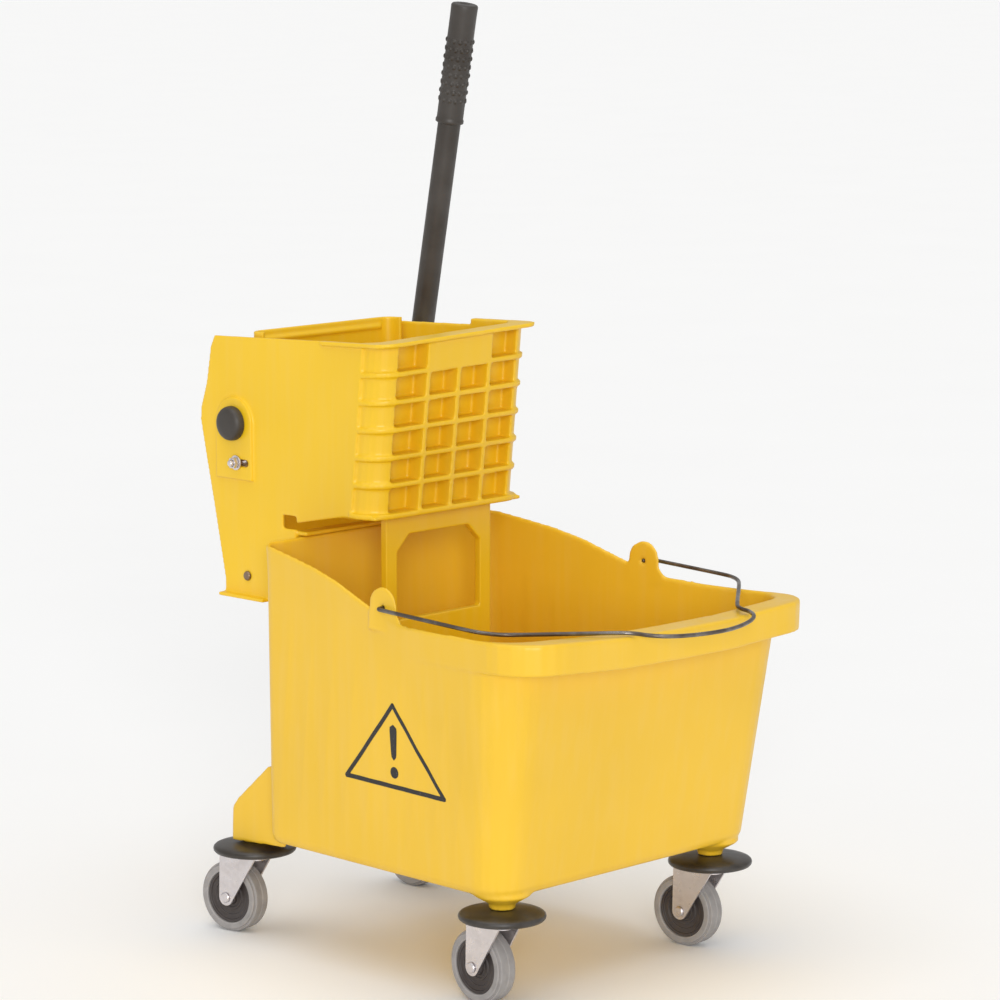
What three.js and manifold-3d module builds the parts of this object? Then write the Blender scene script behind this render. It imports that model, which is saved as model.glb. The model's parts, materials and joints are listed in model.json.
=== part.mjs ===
// Wheeled mop bucket with a side-press wringer, in millimetres, +Z up, front (pouring end) towards -Y.
import * as THREE from "three";
import { mergeVertices } from "three/addons/utils/BufferGeometryUtils.js";
import Module from "manifold-3d";

const wasm = await Module();
wasm.setup();

// ---------- driving dimensions ----------

const GAP = 0.3; // between neighbouring pieces
const RUNNING = 0.5; // round a piece that turns or swings

// casters, placed from a point on the floor midway between them
const WHEEL_R = 38.1;
const TREAD_W = 24;
const TREAD_DEPTH = 6.5;
const HUB_W = 21;
const TRAIL = 28; // wheel centre behind its swivel axis
const FORK_SHEET = 2.5;
const FORK_GAP = 1.6; // tread side to fork leg
const FORK_TOP = 86.5;
const FORK_FRONT = -13;
const FORK_TIP_R = 9;
const AXLE_R = 4;
const RACE_R = 19;
const RACE_H = 2.4;
const BUMPER_R = 44.5;
const BUMPER_H = 12.5;
const STEM_R = 5.5;
const BOSS_R = 13.5;
const BOSS_FLARE = { r: 30, z: 107 }; // cone under the front corners
const FRONT_CASTER = { x: 158, y: -195 };
const REAR_CASTER = { x: 135, y: 195 };
const SWIVEL = { front_left: -3, front_right: 6, rear_left: 8, rear_right: 0 }; // degrees at rest

// bucket
const BUCKET_BOTTOM = 118;
const BUCKET_WALL = 4;
const BUCKET_FLOOR = 5;
const BOTTOM_PLAN = { front: -225, rear: 133, frontHalf: 194, rearHalf: 178, frontR: 34, rearR: 22 };
const TOP_PLAN = { front: -270, rear: 147, frontHalf: 228, rearHalf: 167, frontR: 50, rearR: 22 };
const RIM_REAR = 434;
// height of the rim along y: low in front, climbing past the ears to the wringer
const RIM_PROFILE = [
  [-300, 384], [-245, 383.5], [-187, 382], [-127, 381], [-90, 382], [-45, 392],
  [0, 409], [45, 420], [90, 427], [125, 432], [147, RIM_REAR],
];
const POUR_DIP = { depth: 6, full: 60, none: 190 }; // the lip sags in the middle, full and none along x
const RIM_TILT = -0.014; // the moulding sits a little higher on the label side
const LIP_PLAN = { front: -291, rear: 147, frontHalf: 226, rearHalf: 167, frontR: 52, rearR: 22 };
const LIP_H = 34;
const LIP_START = -70; // pouring lip fades in from here to the front
const LIP_FULL = -190;
const EDGE_R = 9;

// rear arms that carry the rear casters
const ARM_HALF = 20;
const ARM_TOP = 192;
const ARM_SHOULDER = 141;
const ARM_BACK = 15; // beyond the caster's swivel axis
const ARM_WALL = 4;

// bail
const EAR = { x: 193.5, y: -66, z: 396 };
const EAR_THICK = 9;
const EAR_HOLE = 6; // depth of the blind hole from the ear's outer face
const EAR_R = 21;
const BAIL_R = 2.3;
const BAIL_SIDE = 8; // wire centre outside the ear
const BAIL_ARM = 135;
const BAIL_NECK = { x: 88, reach: 216 };
const BAIL_LOOP = [[85, 232], [76, 247], [62, 257], [42, 265], [20, 270]];
const BAIL_REACH = 272;
const BAIL_DROOP = 3.4; // degrees below level at rest
const BAIL_SKEW = 0.075; // the hand-bent wire hangs a little askew

// wringer body
const SIDE_X = 112; // outer face of a side plate
const SIDE_T = 4;
const PAD_T = 4;
const PAD_R = 28;
const CHAMBER_TOP = 651;
const TOP_FALL = 10; // top edge drops this much from front to back
const TOP_RISE = 3; // and climbs this much from the middle to the handle side
const CHAMBER_BOTTOM = 462;
const FRONT_Y_TOP = 15;
const FRONT_LEAN = 5.6; // degrees, bottom further back
const FRONT_T = 25;
const CORNER_R = 30;
const GRID_HALF = 90;
const GRID_COLS = 4;
const GRID_ROWS = 6;
const GRID_RIB = 5.5;
const POCKET_DEPTH = 20;
const CORNER_RECESS = 3;
const CORNER_GUSSET = 14; // fills the inside corners behind the wrapped recesses
const LABEL_COLS = [1, 2]; // columns of the top row left flat
const TOP_FLANGE = { out: 4.5, h: 4.5, cornerR: 20 };
const BOTTOM_FLANGE = { out: 2, h: 6, cornerR: 30 };
const FLOOR_T = 4;
const FLOOR_REAR = { y: 186.5, z: 456 }; // just clear of the press plate at full stroke
const DRAIN = { rows: 3, cols: 4, w: 10, l: 26 };
const REAR_EDGE = [
  [277, 637], [283, 624], [290, 585], [299, 558], [300, 545], [291, 504], [280, 456], [263, 377],
];
const STEM_FRONT = 153;
const NOTCH = { back: 172, top: 455, bottom: 440.5 };
const STEM_BOTTOM = 358;
const FOOT_OUT = 9;
const FOOT_Y = 195;
const FOOT_BACK = 264;
const HOOK_T = 4.6;
const LEG_Y = 50;
const LEG_T = 9;
const LEG_HALF = 78;
const LEG_BOTTOM = 300;
const LEG_POST = 16;
const WINDOW_TOP = 440;
const WINDOW_BOTTOM = 350;
const WINDOW_CHAMFER = 18;
const BRACE = 12;

// wringer mechanism
const SHAFT = { y: 244, z: 546 };
const SHAFT_R = 7.5;
const CAP_R = 18.5;
const CAP_H = 11.5;
const HINGE = { y: 227, z: 382.5 };
const HINGE_R = 4;
const RIVET_R = 5.2;
const STOP = { y: 239, z: 504 };
const STOP_R = 3.5;
const STOP_SLOT = 14; // how far the slot runs in front of the bolt
const PLATE_HALF = 104;
const PLATE_TOP = 262; // up the plate from its hinge
const PLATE_SKIN = 4;
const PLATE_BACK = 6; // rib depth behind the hinge line
const WING = 22;
const WING_START = 96;
const WING_R = 14;
const RIDGES = 6;
const CRANK_R = 45;
const CRANK_REST = 37; // degrees behind straight down
const CRANK_X = 86;
const CRANK_T = 5;
const CRANK_PIN_R = 4;
const LUG_X = 76;
const LUG_T = 6;
const LUG_EDGE = 8;
const LEVER_TURN = 75;
const PLATE_TURN = 25;

// lever handle
const HANDLE_X = 154;
const HANDLE_LEAN = 10.6;
const HANDLE_TOP = 447; // from the shaft along the handle
const TUBE_R = 12.5;
const TUBE_WALL = 2;
const SOCKET_R = 16.5;
const COLLAR_R = 13;
const SOCKET_L = 62;
const SOCKET_DEPTH = 22; // tube starts this far from the shaft axis
const GRIP_R = 16;
const GRIP_L = 132;
const HANDLE_BOLT_R = 3;

// ---------- derived values ----------

const rad = THREE.MathUtils.degToRad;
const LEAN = Math.tan(rad(FRONT_LEAN));
const HUB_R = WHEEL_R - TREAD_DEPTH;
const LEG_IN = TREAD_W / 2 + FORK_GAP;
const BUMPER_Z = FORK_TOP + GAP + RACE_H + GAP;
const BOSS_BOTTOM = BUMPER_Z + BUMPER_H + GAP;
const STEM_TOP = BUCKET_BOTTOM;
const SIDE_IN = SIDE_X - SIDE_T;
const SHAFT_BORE = SHAFT_R + RUNNING;
// The press plate leans so that its back just clears the two stop bolts.
const STOP_DIST = Math.hypot(STOP.y - HINGE.y, STOP.z - HINGE.z);
const PLATE_LEAN = Math.atan2(STOP.y - HINGE.y, STOP.z - HINGE.z)
  - Math.asin((PLATE_BACK + STOP_R + GAP) / STOP_DIST);
const REAR_MOST = Math.max(...REAR_EDGE.map(([y]) => y));
const CENTRE_Y = (EAR.y - BAIL_REACH * Math.cos(rad(BAIL_DROOP)) - BAIL_R + REAR_MOST) / 2;

// ---------- geometry helpers ----------

function asManifold(geometry) {
  const bare = geometry.clone();
  bare.deleteAttribute("normal");
  bare.deleteAttribute("uv");
  const merged = mergeVertices(bare, 1e-4);
  const triVerts = new Uint32Array(merged.index.array);
  const vertProperties = merged.attributes.position.array;
  return new wasm.Manifold(new wasm.Mesh({ numProp: 3, vertProperties, triVerts }));
}

function asGeometry(manifold) {
  const mesh = manifold.getMesh();
  const geometry = new THREE.BufferGeometry();
  geometry.setAttribute("position", new THREE.BufferAttribute(new Float32Array(mesh.vertProperties), 3));
  geometry.setIndex(new THREE.BufferAttribute(new Uint32Array(mesh.triVerts), 1));
  geometry.computeVertexNormals();
  return geometry;
}

function join(parts) {
  return asGeometry(parts.map(asManifold).reduce((all, next) => all.add(next)));
}

function cut(body, tools) {
  return asGeometry(tools.map(asManifold).reduce((left, tool) => left.subtract(tool), asManifold(body)));
}

function box(x0, x1, y0, y1, z0, z1) {
  const geometry = new THREE.BoxGeometry(x1 - x0, y1 - y0, z1 - z0);
  return geometry.translate((x0 + x1) / 2, (y0 + y1) / 2, (z0 + z1) / 2);
}

function shapeOf(points, holes = []) {
  const shape = new THREE.Shape(points.map(([u, v]) => new THREE.Vector2(u, v)));
  shape.holes = holes.map((hole) => new THREE.Path(hole.map(([u, v]) => new THREE.Vector2(u, v))));
  return shape;
}

function extrude(points, holes, depth, basis) {
  const geometry = new THREE.ExtrudeGeometry(shapeOf(points, holes), { depth, bevelEnabled: false });
  return geometry.applyMatrix4(basis);
}

// points are [y, z], extruded from x0 to x1
function extrudeX(points, x0, x1, holes = []) {
  const basis = new THREE.Matrix4().makeBasis(
    new THREE.Vector3(0, 1, 0), new THREE.Vector3(0, 0, 1), new THREE.Vector3(1, 0, 0));
  return extrude(points, holes, x1 - x0, basis).translate(x0, 0, 0);
}

// points are [x, z], extruded from y0 to y1
function extrudeY(points, y0, y1, holes = []) {
  const basis = new THREE.Matrix4().makeBasis(
    new THREE.Vector3(1, 0, 0), new THREE.Vector3(0, 0, 1), new THREE.Vector3(0, -1, 0));
  return extrude(points, holes, y1 - y0, basis).translate(0, y1, 0);
}

// points are [x, y], extruded from z0 to z1
function extrudeZ(points, z0, z1, holes = []) {
  return extrude(points, holes, z1 - z0, new THREE.Matrix4()).translate(0, 0, z0);
}

// profile is [radius, z], turned about Z
function turnZ(profile, segments) {
  const points = profile.map(([r, z]) => new THREE.Vector2(r, z));
  return new THREE.LatheGeometry(points, segments).rotateX(Math.PI / 2);
}

// profile is [radius, x], turned about X
function turnX(profile, segments) {
  return turnZ(profile, segments).rotateY(Math.PI / 2);
}

function rodX(r, x0, x1, y, z, segments) {
  return turnX([[0, x0], [r, x0], [r, x1], [0, x1]], segments).translate(0, y, z);
}

function rodZ(r, z0, z1, x, y, segments) {
  return turnZ([[0, z0], [r, z0], [r, z1], [0, z1]], segments).translate(x, y, 0);
}

function circle(u, v, r, segments) {
  return Array.from({ length: segments }, (_, i) => {
    const a = (2 * Math.PI * i) / segments;
    return [u + r * Math.cos(a), v + r * Math.sin(a)];
  });
}

function arc(u, v, r, from, to, segments) {
  return Array.from({ length: segments + 1 }, (_, i) => {
    const a = rad(from + ((to - from) * i) / segments);
    return [u + r * Math.cos(a), v + r * Math.sin(a)];
  });
}

function rounded(u0, u1, v0, v1, r, segments) {
  return [
    ...arc(u1 - r, v0 + r, r, -90, 0, segments),
    ...arc(u1 - r, v1 - r, r, 0, 90, segments),
    ...arc(u0 + r, v1 - r, r, 90, 180, segments),
    ...arc(u0 + r, v0 + r, r, 180, 270, segments),
  ];
}

// Closed solid through rings of equal length; the first and last ring are flat and convex.
function loft(rings) {
  const count = rings[0].length;
  const positions = rings.flat(2);
  const index = [];
  for (let k = 0; k + 1 < rings.length; k++) {
    for (let i = 0; i < count; i++) {
      const a = k * count + i;
      const b = k * count + ((i + 1) % count);
      index.push(a, b, b + count, a, b + count, a + count);
    }
  }
  const last = (rings.length - 1) * count;
  for (let i = 1; i + 1 < count; i++) {
    index.push(0, i + 1, i);
    index.push(last, last + i, last + i + 1);
  }
  const geometry = new THREE.BufferGeometry();
  geometry.setAttribute("position", new THREE.Float32BufferAttribute(positions, 3));
  geometry.setIndex(index);
  return geometry;
}

// ---------- bucket ----------

const CORNER_STEPS = 6;
const SIDE_STEPS = 9;
const END_STEPS = 4;

// Counter-clockwise plan of the bucket with rounded corners, each point with its outward normal.
function bucketPlan(plan) {
  const corners = [
    [plan.frontHalf, plan.front, plan.frontR, SIDE_STEPS],
    [plan.rearHalf, plan.rear, plan.rearR, END_STEPS],
    [-plan.rearHalf, plan.rear, plan.rearR, SIDE_STEPS],
    [-plan.frontHalf, plan.front, plan.frontR, END_STEPS],
  ];
  const arcs = corners.map(([x, y, r], i) => {
    const before = corners[(i + 3) % 4];
    const after = corners[(i + 1) % 4];
    const p = new THREE.Vector2(x, y);
    const a = new THREE.Vector2(before[0], before[1]).sub(p).normalize();
    const b = new THREE.Vector2(after[0], after[1]).sub(p).normalize();
    const half = Math.acos(a.dot(b)) / 2;
    const centre = a.clone().add(b).normalize().multiplyScalar(r / Math.sin(half)).add(p);
    const start = p.clone().addScaledVector(a, r / Math.tan(half)).sub(centre).angle();
    const sweep = Math.PI - 2 * half;
    return Array.from({ length: CORNER_STEPS + 1 }, (_, k) => {
      const angle = start + (sweep * k) / CORNER_STEPS;
      const nx = Math.cos(angle);
      const ny = Math.sin(angle);
      return { x: centre.x + r * nx, y: centre.y + r * ny, nx, ny };
    });
  });
  return arcs.flatMap((points, i) => {
    const from = points[CORNER_STEPS];
    const to = arcs[(i + 1) % 4][0];
    const steps = corners[i][3];
    const side = Array.from({ length: steps - 1 }, (_, k) => {
      const t = (k + 1) / steps;
      return {
        x: from.x + (to.x - from.x) * t,
        y: from.y + (to.y - from.y) * t,
        nx: from.nx,
        ny: from.ny,
      };
    });
    return [...points, ...side];
  });
}

const LOW = bucketPlan(BOTTOM_PLAN);
const HIGH = bucketPlan(TOP_PLAN);
const LIP = bucketPlan(LIP_PLAN);

function rimHeight({ x, y }) {
  const k = Math.max(RIM_PROFILE.findIndex(([to]) => y <= to), 1);
  const [y0, z0] = RIM_PROFILE[k - 1];
  const [y1, z1] = RIM_PROFILE[k];
  const level = THREE.MathUtils.mapLinear(y, y0, y1, z0, z1);
  const sag = POUR_DIP.depth * (1 - THREE.MathUtils.smoothstep(Math.abs(x), POUR_DIP.full, POUR_DIP.none));
  const share = lipShare(y);
  return level + share * (RIM_TILT * x - sag);
}

// How far the wall has turned into the pouring lip: 0 behind the ears, 1 at the front.
function lipShare(y) {
  return THREE.MathUtils.smoothstep(-y, -LIP_START, -LIP_FULL);
}

// Point i of the wall at height z, moved outwards; lip turns it into the pouring lip where there is one.
function wallPoint(i, z, out, lip = 0) {
  const t = (z - BUCKET_BOTTOM) / (RIM_REAR - BUCKET_BOTTOM);
  const low = LOW[i];
  const high = HIGH[i];
  const share = lip * lipShare(high.y);
  const x = THREE.MathUtils.lerp(low.x, high.x, t);
  const y = THREE.MathUtils.lerp(low.y, high.y, t);
  return [
    THREE.MathUtils.lerp(x, LIP[i].x, share) + high.nx * out,
    THREE.MathUtils.lerp(y, LIP[i].y, share) + high.ny * out,
    z,
  ];
}

function rimRing(drop, out, lip) {
  return HIGH.map((p, i) => wallPoint(i, rimHeight(p) - drop, out, lip));
}

function levelRing(z, out) {
  return HIGH.map((_, i) => wallPoint(i, z, out));
}

function bucketShell() {
  const floorTop = BUCKET_BOTTOM + BUCKET_FLOOR;
  return loft([
    levelRing(BUCKET_BOTTOM, -EDGE_R),
    levelRing(BUCKET_BOTTOM + EDGE_R * 0.3, -EDGE_R * 0.3),
    levelRing(BUCKET_BOTTOM + EDGE_R, 0),
    rimRing(LIP_H, 0, 0),
    rimRing(LIP_H - 2, 0, 1),
    rimRing(2, 1, 1),
    rimRing(0, -1, 1),
    rimRing(1, -BUCKET_WALL + 1, 0),
    rimRing(3, -BUCKET_WALL, 0),
    rimRing(LIP_H, -BUCKET_WALL, 0),
    levelRing(floorTop + EDGE_R, -BUCKET_WALL),
    levelRing(floorTop, -BUCKET_WALL - EDGE_R * 0.7),
  ]);
}

function ear(side) {
  const x0 = side * EAR.x - EAR_THICK / 2;
  const foot = EAR.z - 24;
  const outline = [
    [EAR.y + EAR_R + 1, foot],
    ...arc(EAR.y, EAR.z + 2, EAR_R - 2, 0, 180, 10),
    [EAR.y - EAR_R + 1, EAR.z - 6],
    [EAR.y - EAR_R - 4, EAR.z - 12],
    [EAR.y - EAR_R - 14, foot],
  ];
  return extrudeX(outline, x0, x0 + EAR_THICK);
}

// Hollow arm behind the bucket, open below.
function rearArm(side) {
  const x = side * REAR_CASTER.x;
  const back = REAR_CASTER.y + ARM_BACK;
  const start = BOTTOM_PLAN.rear - 6;
  const profile = (inset) => [
    [start, BOSS_BOTTOM + BUMPER_H / 2 - (inset ? 20 : 0)],
    [back - inset, BOSS_BOTTOM + GAP + 1 - (inset ? 20 : 0)],
    [back - inset - 2, ARM_SHOULDER - inset],
    [back - 10 - inset, ARM_SHOULDER + 10 - inset],
    [start + 26, ARM_TOP - inset * 1.5],
    [start, ARM_TOP - inset * 1.5],
  ];
  const outer = extrudeX(profile(0), x - ARM_HALF, x + ARM_HALF);
  const inner = extrudeX(profile(ARM_WALL), x - ARM_HALF + ARM_WALL, x + ARM_HALF - ARM_WALL);
  return cut(outer, [cut(inner, [boss(REAR_CASTER, side, ARM_TOP)])]);
}

function boss(at, side, top) {
  return rodZ(BOSS_R, BOSS_BOTTOM, top, side * at.x, at.y, 24);
}

// Cone that spreads a front boss into the bucket's underside.
function bossFlare(at, side) {
  const top = BUCKET_BOTTOM + 1;
  const profile = [[0, BOSS_FLARE.z], [BOSS_R - 1, BOSS_FLARE.z], [BOSS_FLARE.r, top - 2], [BOSS_FLARE.r, top], [0, top]];
  return turnZ(profile, 24).translate(side * at.x, at.y, 0);
}

// The bucket's hollow, as a tool that clears whatever the added pieces leave inside.
function bucketHollow() {
  const floorTop = BUCKET_BOTTOM + BUCKET_FLOOR;
  return loft([
    levelRing(floorTop, -BUCKET_WALL - EDGE_R * 0.7),
    levelRing(floorTop + EDGE_R, -BUCKET_WALL),
    rimRing(LIP_H, -BUCKET_WALL, 0),
    levelRing(RIM_REAR + 30, -BUCKET_WALL),
  ]);
}

function bucketGeometry() {
  const sides = [-1, 1];
  const added = join([
    ...sides.map(rearArm),
    ...sides.map((side) => boss(FRONT_CASTER, side, BUCKET_BOTTOM + BUCKET_FLOOR)),
    ...sides.map((side) => bossFlare(FRONT_CASTER, side)),
    ...sides.map((side) => boss(REAR_CASTER, side, ARM_SHOULDER - 2)),
  ]);
  const shell = join([bucketShell(), cut(join([added, ...sides.map(ear)]), [bucketHollow()])]);
  const bores = [FRONT_CASTER, REAR_CASTER].flatMap((at) =>
    sides.map((side) => rodZ(STEM_R + GAP, BOSS_BOTTOM - 5, STEM_TOP + 1, side * at.x, at.y, 16)));
  const earOut = EAR.x + EAR_THICK / 2;
  const holes = sides.map((side) => {
    const ends = [side * (earOut - EAR_HOLE), side * (earOut + 5)].sort((a, b) => a - b);
    return rodX(BAIL_R + RUNNING, ...ends, EAR.y, EAR.z, 14);
  });
  return cut(shell, [...bores, ...holes]);
}

// ---------- bail ----------

function bailPath() {
  const x = EAR.x + EAR_THICK / 2 + BAIL_SIDE;
  const bend = 5;
  const shoulder = 26;
  const half = [
    [EAR.x + EAR_THICK / 2 - EAR_HOLE + RUNNING, 0],
    ...arc(x - bend, bend, bend, -90, 0, 4),
    [x, BAIL_ARM - shoulder],
    [x - 2, BAIL_ARM - shoulder / 2],
    [x - 8, BAIL_ARM],
    [x - 19, BAIL_ARM + 12],
    [BAIL_NECK.x + 8, BAIL_NECK.reach - 6],
    [BAIL_NECK.x + 1, BAIL_NECK.reach + 2],
    [BAIL_NECK.x - 3, BAIL_NECK.reach + 10],
    ...BAIL_LOOP,
  ];
  const mirrored = half.map(([u, v]) => [-u, v]);
  const path = [...mirrored, [0, BAIL_REACH], ...half.reverse()];
  return path.map(([u, v]) => [u + BAIL_SKEW * v, v - BAIL_SKEW * u * Math.min(v / BAIL_ARM, 1)]);
}

// Round wire through a flat path of [x, reach] points.
function wire(path, r, sides) {
  const rings = path.map(([u, v], i) => {
    const before = path[Math.max(i - 1, 0)];
    const after = path[Math.min(i + 1, path.length - 1)];
    const along = new THREE.Vector2(after[0] - before[0], after[1] - before[1]).normalize();
    return Array.from({ length: sides }, (_, k) => {
      const a = (2 * Math.PI * k) / sides;
      const off = r * Math.cos(a);
      return [u - along.y * off, -(v + along.x * off), -r * Math.sin(a)];
    });
  });
  return loft(rings);
}

// ---------- casters ----------

function tyreGeometry() {
  const half = TREAD_W / 2;
  const profile = [
    [HUB_R + GAP, -half + 1.5],
    [WHEEL_R - 3, -half],
    [WHEEL_R - 1.2, -half + 2.2],
    [WHEEL_R, -half + 6],
    [WHEEL_R, half - 6],
    [WHEEL_R - 1.2, half - 2.2],
    [WHEEL_R - 3, half],
    [HUB_R + GAP, half - 1.5],
    [HUB_R + GAP, -half + 1.5],
  ];
  return turnX(profile, 32);
}

function hubGeometry() {
  const half = HUB_W / 2;
  const bore = AXLE_R + RUNNING;
  const profile = [
    [bore, -half - 1],
    [9, -half - 1],
    [10.5, -half + 3.5],
    [HUB_R - 4, -half + 2],
    [HUB_R - 2.5, -half],
    [HUB_R, -half],
    [HUB_R, half],
    [HUB_R - 2.5, half],
    [HUB_R - 4, half - 2],
    [10.5, half - 3.5],
    [9, half + 1],
    [bore, half + 1],
    [bore, -half - 1],
  ];
  return turnX(profile, 24);
}

function forkGeometry() {
  const outer = LEG_IN + FORK_SHEET;
  const leg = [
    [FORK_FRONT, FORK_TOP],
    ...arc(TRAIL, WHEEL_R, FORK_TIP_R, 212, 360, 7),
    [TRAIL + FORK_TIP_R - 1, FORK_TOP],
  ];
  const bore = circle(TRAIL, WHEEL_R, AXLE_R + GAP, 12).reverse();
  const crown = rounded(-outer, outer, FORK_FRONT - 5, TRAIL + FORK_TIP_R - 1, 8, 3);
  const kingHole = circle(0, 0, STEM_R + RUNNING, 16).reverse();
  return join([
    extrudeX(leg, LEG_IN, outer, [bore]),
    extrudeX(leg, -outer, -LEG_IN, [bore]),
    extrudeZ(crown, FORK_TOP - FORK_SHEET, FORK_TOP, [kingHole]),
  ]);
}

function axleGeometry() {
  const end = LEG_IN + FORK_SHEET + GAP;
  const head = AXLE_R + 1.8;
  return turnX([
    [0, -end - 2.2],
    [head - 1.2, -end - 2.2],
    [head, -end - 1],
    [head, -end],
    [AXLE_R, -end],
    [AXLE_R, end],
    [head, end],
    [head, end + 1],
    [head - 1.2, end + 2.2],
    [0, end + 2.2],
  ], 14);
}

// Stem with the upper bearing race; its riveted foot holds the fork's crown.
function stemGeometry() {
  const crownLow = FORK_TOP - FORK_SHEET;
  const raceLow = FORK_TOP + GAP;
  return turnZ([
    [0, crownLow - 3],
    [8, crownLow - 3],
    [9, crownLow - GAP],
    [STEM_R, crownLow - GAP],
    [STEM_R, raceLow],
    [RACE_R, raceLow],
    [RACE_R, raceLow + RACE_H],
    [STEM_R, raceLow + RACE_H],
    [STEM_R, STEM_TOP - 1.5],
    [STEM_R - 1.5, STEM_TOP],
    [0, STEM_TOP],
  ], 20);
}

function bumperGeometry() {
  const top = BUMPER_Z + BUMPER_H;
  return turnZ([
    [STEM_R + GAP, BUMPER_Z],
    [BUMPER_R - 7, BUMPER_Z],
    [BUMPER_R - 2, BUMPER_Z + 2],
    [BUMPER_R, BUMPER_Z + 5.5],
    [BUMPER_R - 1.5, BUMPER_Z + 8.5],
    [BUMPER_R - 6, BUMPER_Z + 10.5],
    [BUMPER_R * 0.5, top],
    [STEM_R + GAP, top],
    [STEM_R + GAP, BUMPER_Z],
  ], 28);
}

// ---------- wringer body ----------

// Leans the front wall so its foot sits further back, and slopes the chamber's top edge.
function leaned(geometry, frozenFrom) {
  const position = geometry.attributes.position;
  for (let i = 0; i < position.count; i++) {
    const x = position.getX(i);
    const y = position.getY(i);
    const z = position.getZ(i);
    const up = (z - CHAMBER_BOTTOM) / (CHAMBER_TOP - CHAMBER_BOTTOM);
    const fall = (TOP_FALL * (y - FRONT_Y_TOP)) / CHAMBER_LENGTH;
    if (y < frozenFrom) position.setY(i, y + (CHAMBER_TOP - z) * LEAN);
    position.setZ(i, z + up * ((TOP_RISE * x) / SIDE_X - fall));
  }
  return geometry;
}

const CHAMBER_BACK = 110;
const CHAMBER_LENGTH = REAR_EDGE[0][0] - FRONT_Y_TOP;

// U-shaped ring in plan: side walls, rounded front corners and the front wall.
function chamberRing(out, r, back) {
  const x = SIDE_X + out;
  const front = FRONT_Y_TOP - out;
  const inner = FRONT_Y_TOP + FRONT_T;
  return [
    ...arc(x - r, front + r, r, 0, -90, 6),
    ...arc(-x + r, front + r, r, -90, -180, 6),
    [-x, back],
    [-SIDE_IN, back],
    [-SIDE_IN, inner + CORNER_GUSSET],
    [-SIDE_IN + CORNER_GUSSET, inner],
    [SIDE_IN - CORNER_GUSSET, inner],
    [SIDE_IN, inner + CORNER_GUSSET],
    [SIDE_IN, back],
    [x, back],
  ];
}

function chamberShell() {
  const ring = chamberRing(0, CORNER_R, CHAMBER_BACK);
  return leaned(extrudeZ(ring, CHAMBER_BOTTOM, CHAMBER_TOP), CHAMBER_BACK - 10);
}

function flange(size, z0, back) {
  const ring = chamberRing(size.out, size.cornerR, back);
  return leaned(extrudeZ(ring, z0, z0 + size.h), back - 10);
}

function rowSpan(row) {
  const top = CHAMBER_TOP - TOP_FLANGE.h;
  const bottom = CHAMBER_BOTTOM + BOTTOM_FLANGE.h;
  const pitch = (top - bottom) / GRID_ROWS;
  const high = top - row * pitch - (row ? GRID_RIB / 2 : 0);
  const low = top - (row + 1) * pitch + (row === GRID_ROWS - 1 ? 0 : GRID_RIB / 2);
  return [low, high];
}

function gridPockets() {
  const pitch = (2 * GRID_HALF) / GRID_COLS;
  const tools = [];
  for (let row = 0; row < GRID_ROWS; row++) {
    const [low, high] = rowSpan(row);
    for (let col = 0; col < GRID_COLS; col++) {
      if (row === 0 && LABEL_COLS.includes(col)) continue;
      const x0 = -GRID_HALF + col * pitch + GRID_RIB / 2;
      const x1 = x0 + pitch - GRID_RIB;
      tools.push(box(x0, x1, FRONT_Y_TOP - 5, FRONT_Y_TOP + POCKET_DEPTH, low, high));
    }
    [-1, 1].forEach((side) => tools.push(cornerPocket(side, low, high)));
  }
  return tools.map((tool) => leaned(tool, CHAMBER_BACK - 10));
}

// Shallow recess that wraps round a front corner between two ribs.
function cornerPocket(side, low, high) {
  const cx = side * (SIDE_X - CORNER_R);
  const cy = FRONT_Y_TOP + CORNER_R;
  const from = side > 0 ? -82 : -98;
  const to = side > 0 ? 8 : -188;
  const outer = arc(cx, cy, CORNER_R + 4, from, to, 6);
  const inner = arc(cx, cy, CORNER_R - CORNER_RECESS, to, from, 6);
  const ring = side > 0 ? [...outer, ...inner] : [...outer, ...inner].reverse();
  return extrudeZ(ring, low, high);
}

function sidePlate(side) {
  const x0 = side > 0 ? SIDE_IN : -SIDE_X;
  const outline = [
    [60, CHAMBER_BOTTOM + 4],
    [115, 455],
    [150, 448],
    [152, NOTCH.top],
    [NOTCH.back, NOTCH.top],
    [NOTCH.back, NOTCH.bottom],
    [STEM_FRONT, NOTCH.bottom],
    [STEM_FRONT, STEM_BOTTOM],
    [REAR_EDGE.at(-1)[0], STEM_BOTTOM],
    ...[...REAR_EDGE].reverse(),
    [60, CHAMBER_TOP - (TOP_FALL * (60 - FRONT_Y_TOP)) / CHAMBER_LENGTH - TOP_RISE],
  ];
  return extrudeX(outline, x0, x0 + SIDE_T);
}

// Raised pad round the shaft and the stop bolt.
function sidePad(side) {
  const x0 = side > 0 ? SIDE_X - 1 : -SIDE_X - PAD_T;
  const low = STOP.z - 18;
  const outline = [
    [SHAFT.y - PAD_R, low],
    [SHAFT.y + PAD_R, low],
    ...arc(SHAFT.y, SHAFT.z, PAD_R, -8, 188, 14),
  ];
  return extrudeX(outline, x0, x0 + PAD_T + 1);
}

function footFlange(side) {
  const x0 = side > 0 ? SIDE_IN : -SIDE_X - FOOT_OUT;
  return box(x0, x0 + SIDE_T + FOOT_OUT, FOOT_Y, FOOT_BACK, STEM_BOTTOM, STEM_BOTTOM + 4);
}

function frontFoot() {
  return FRONT_Y_TOP + (CHAMBER_TOP - CHAMBER_BOTTOM) * LEAN;
}

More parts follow.
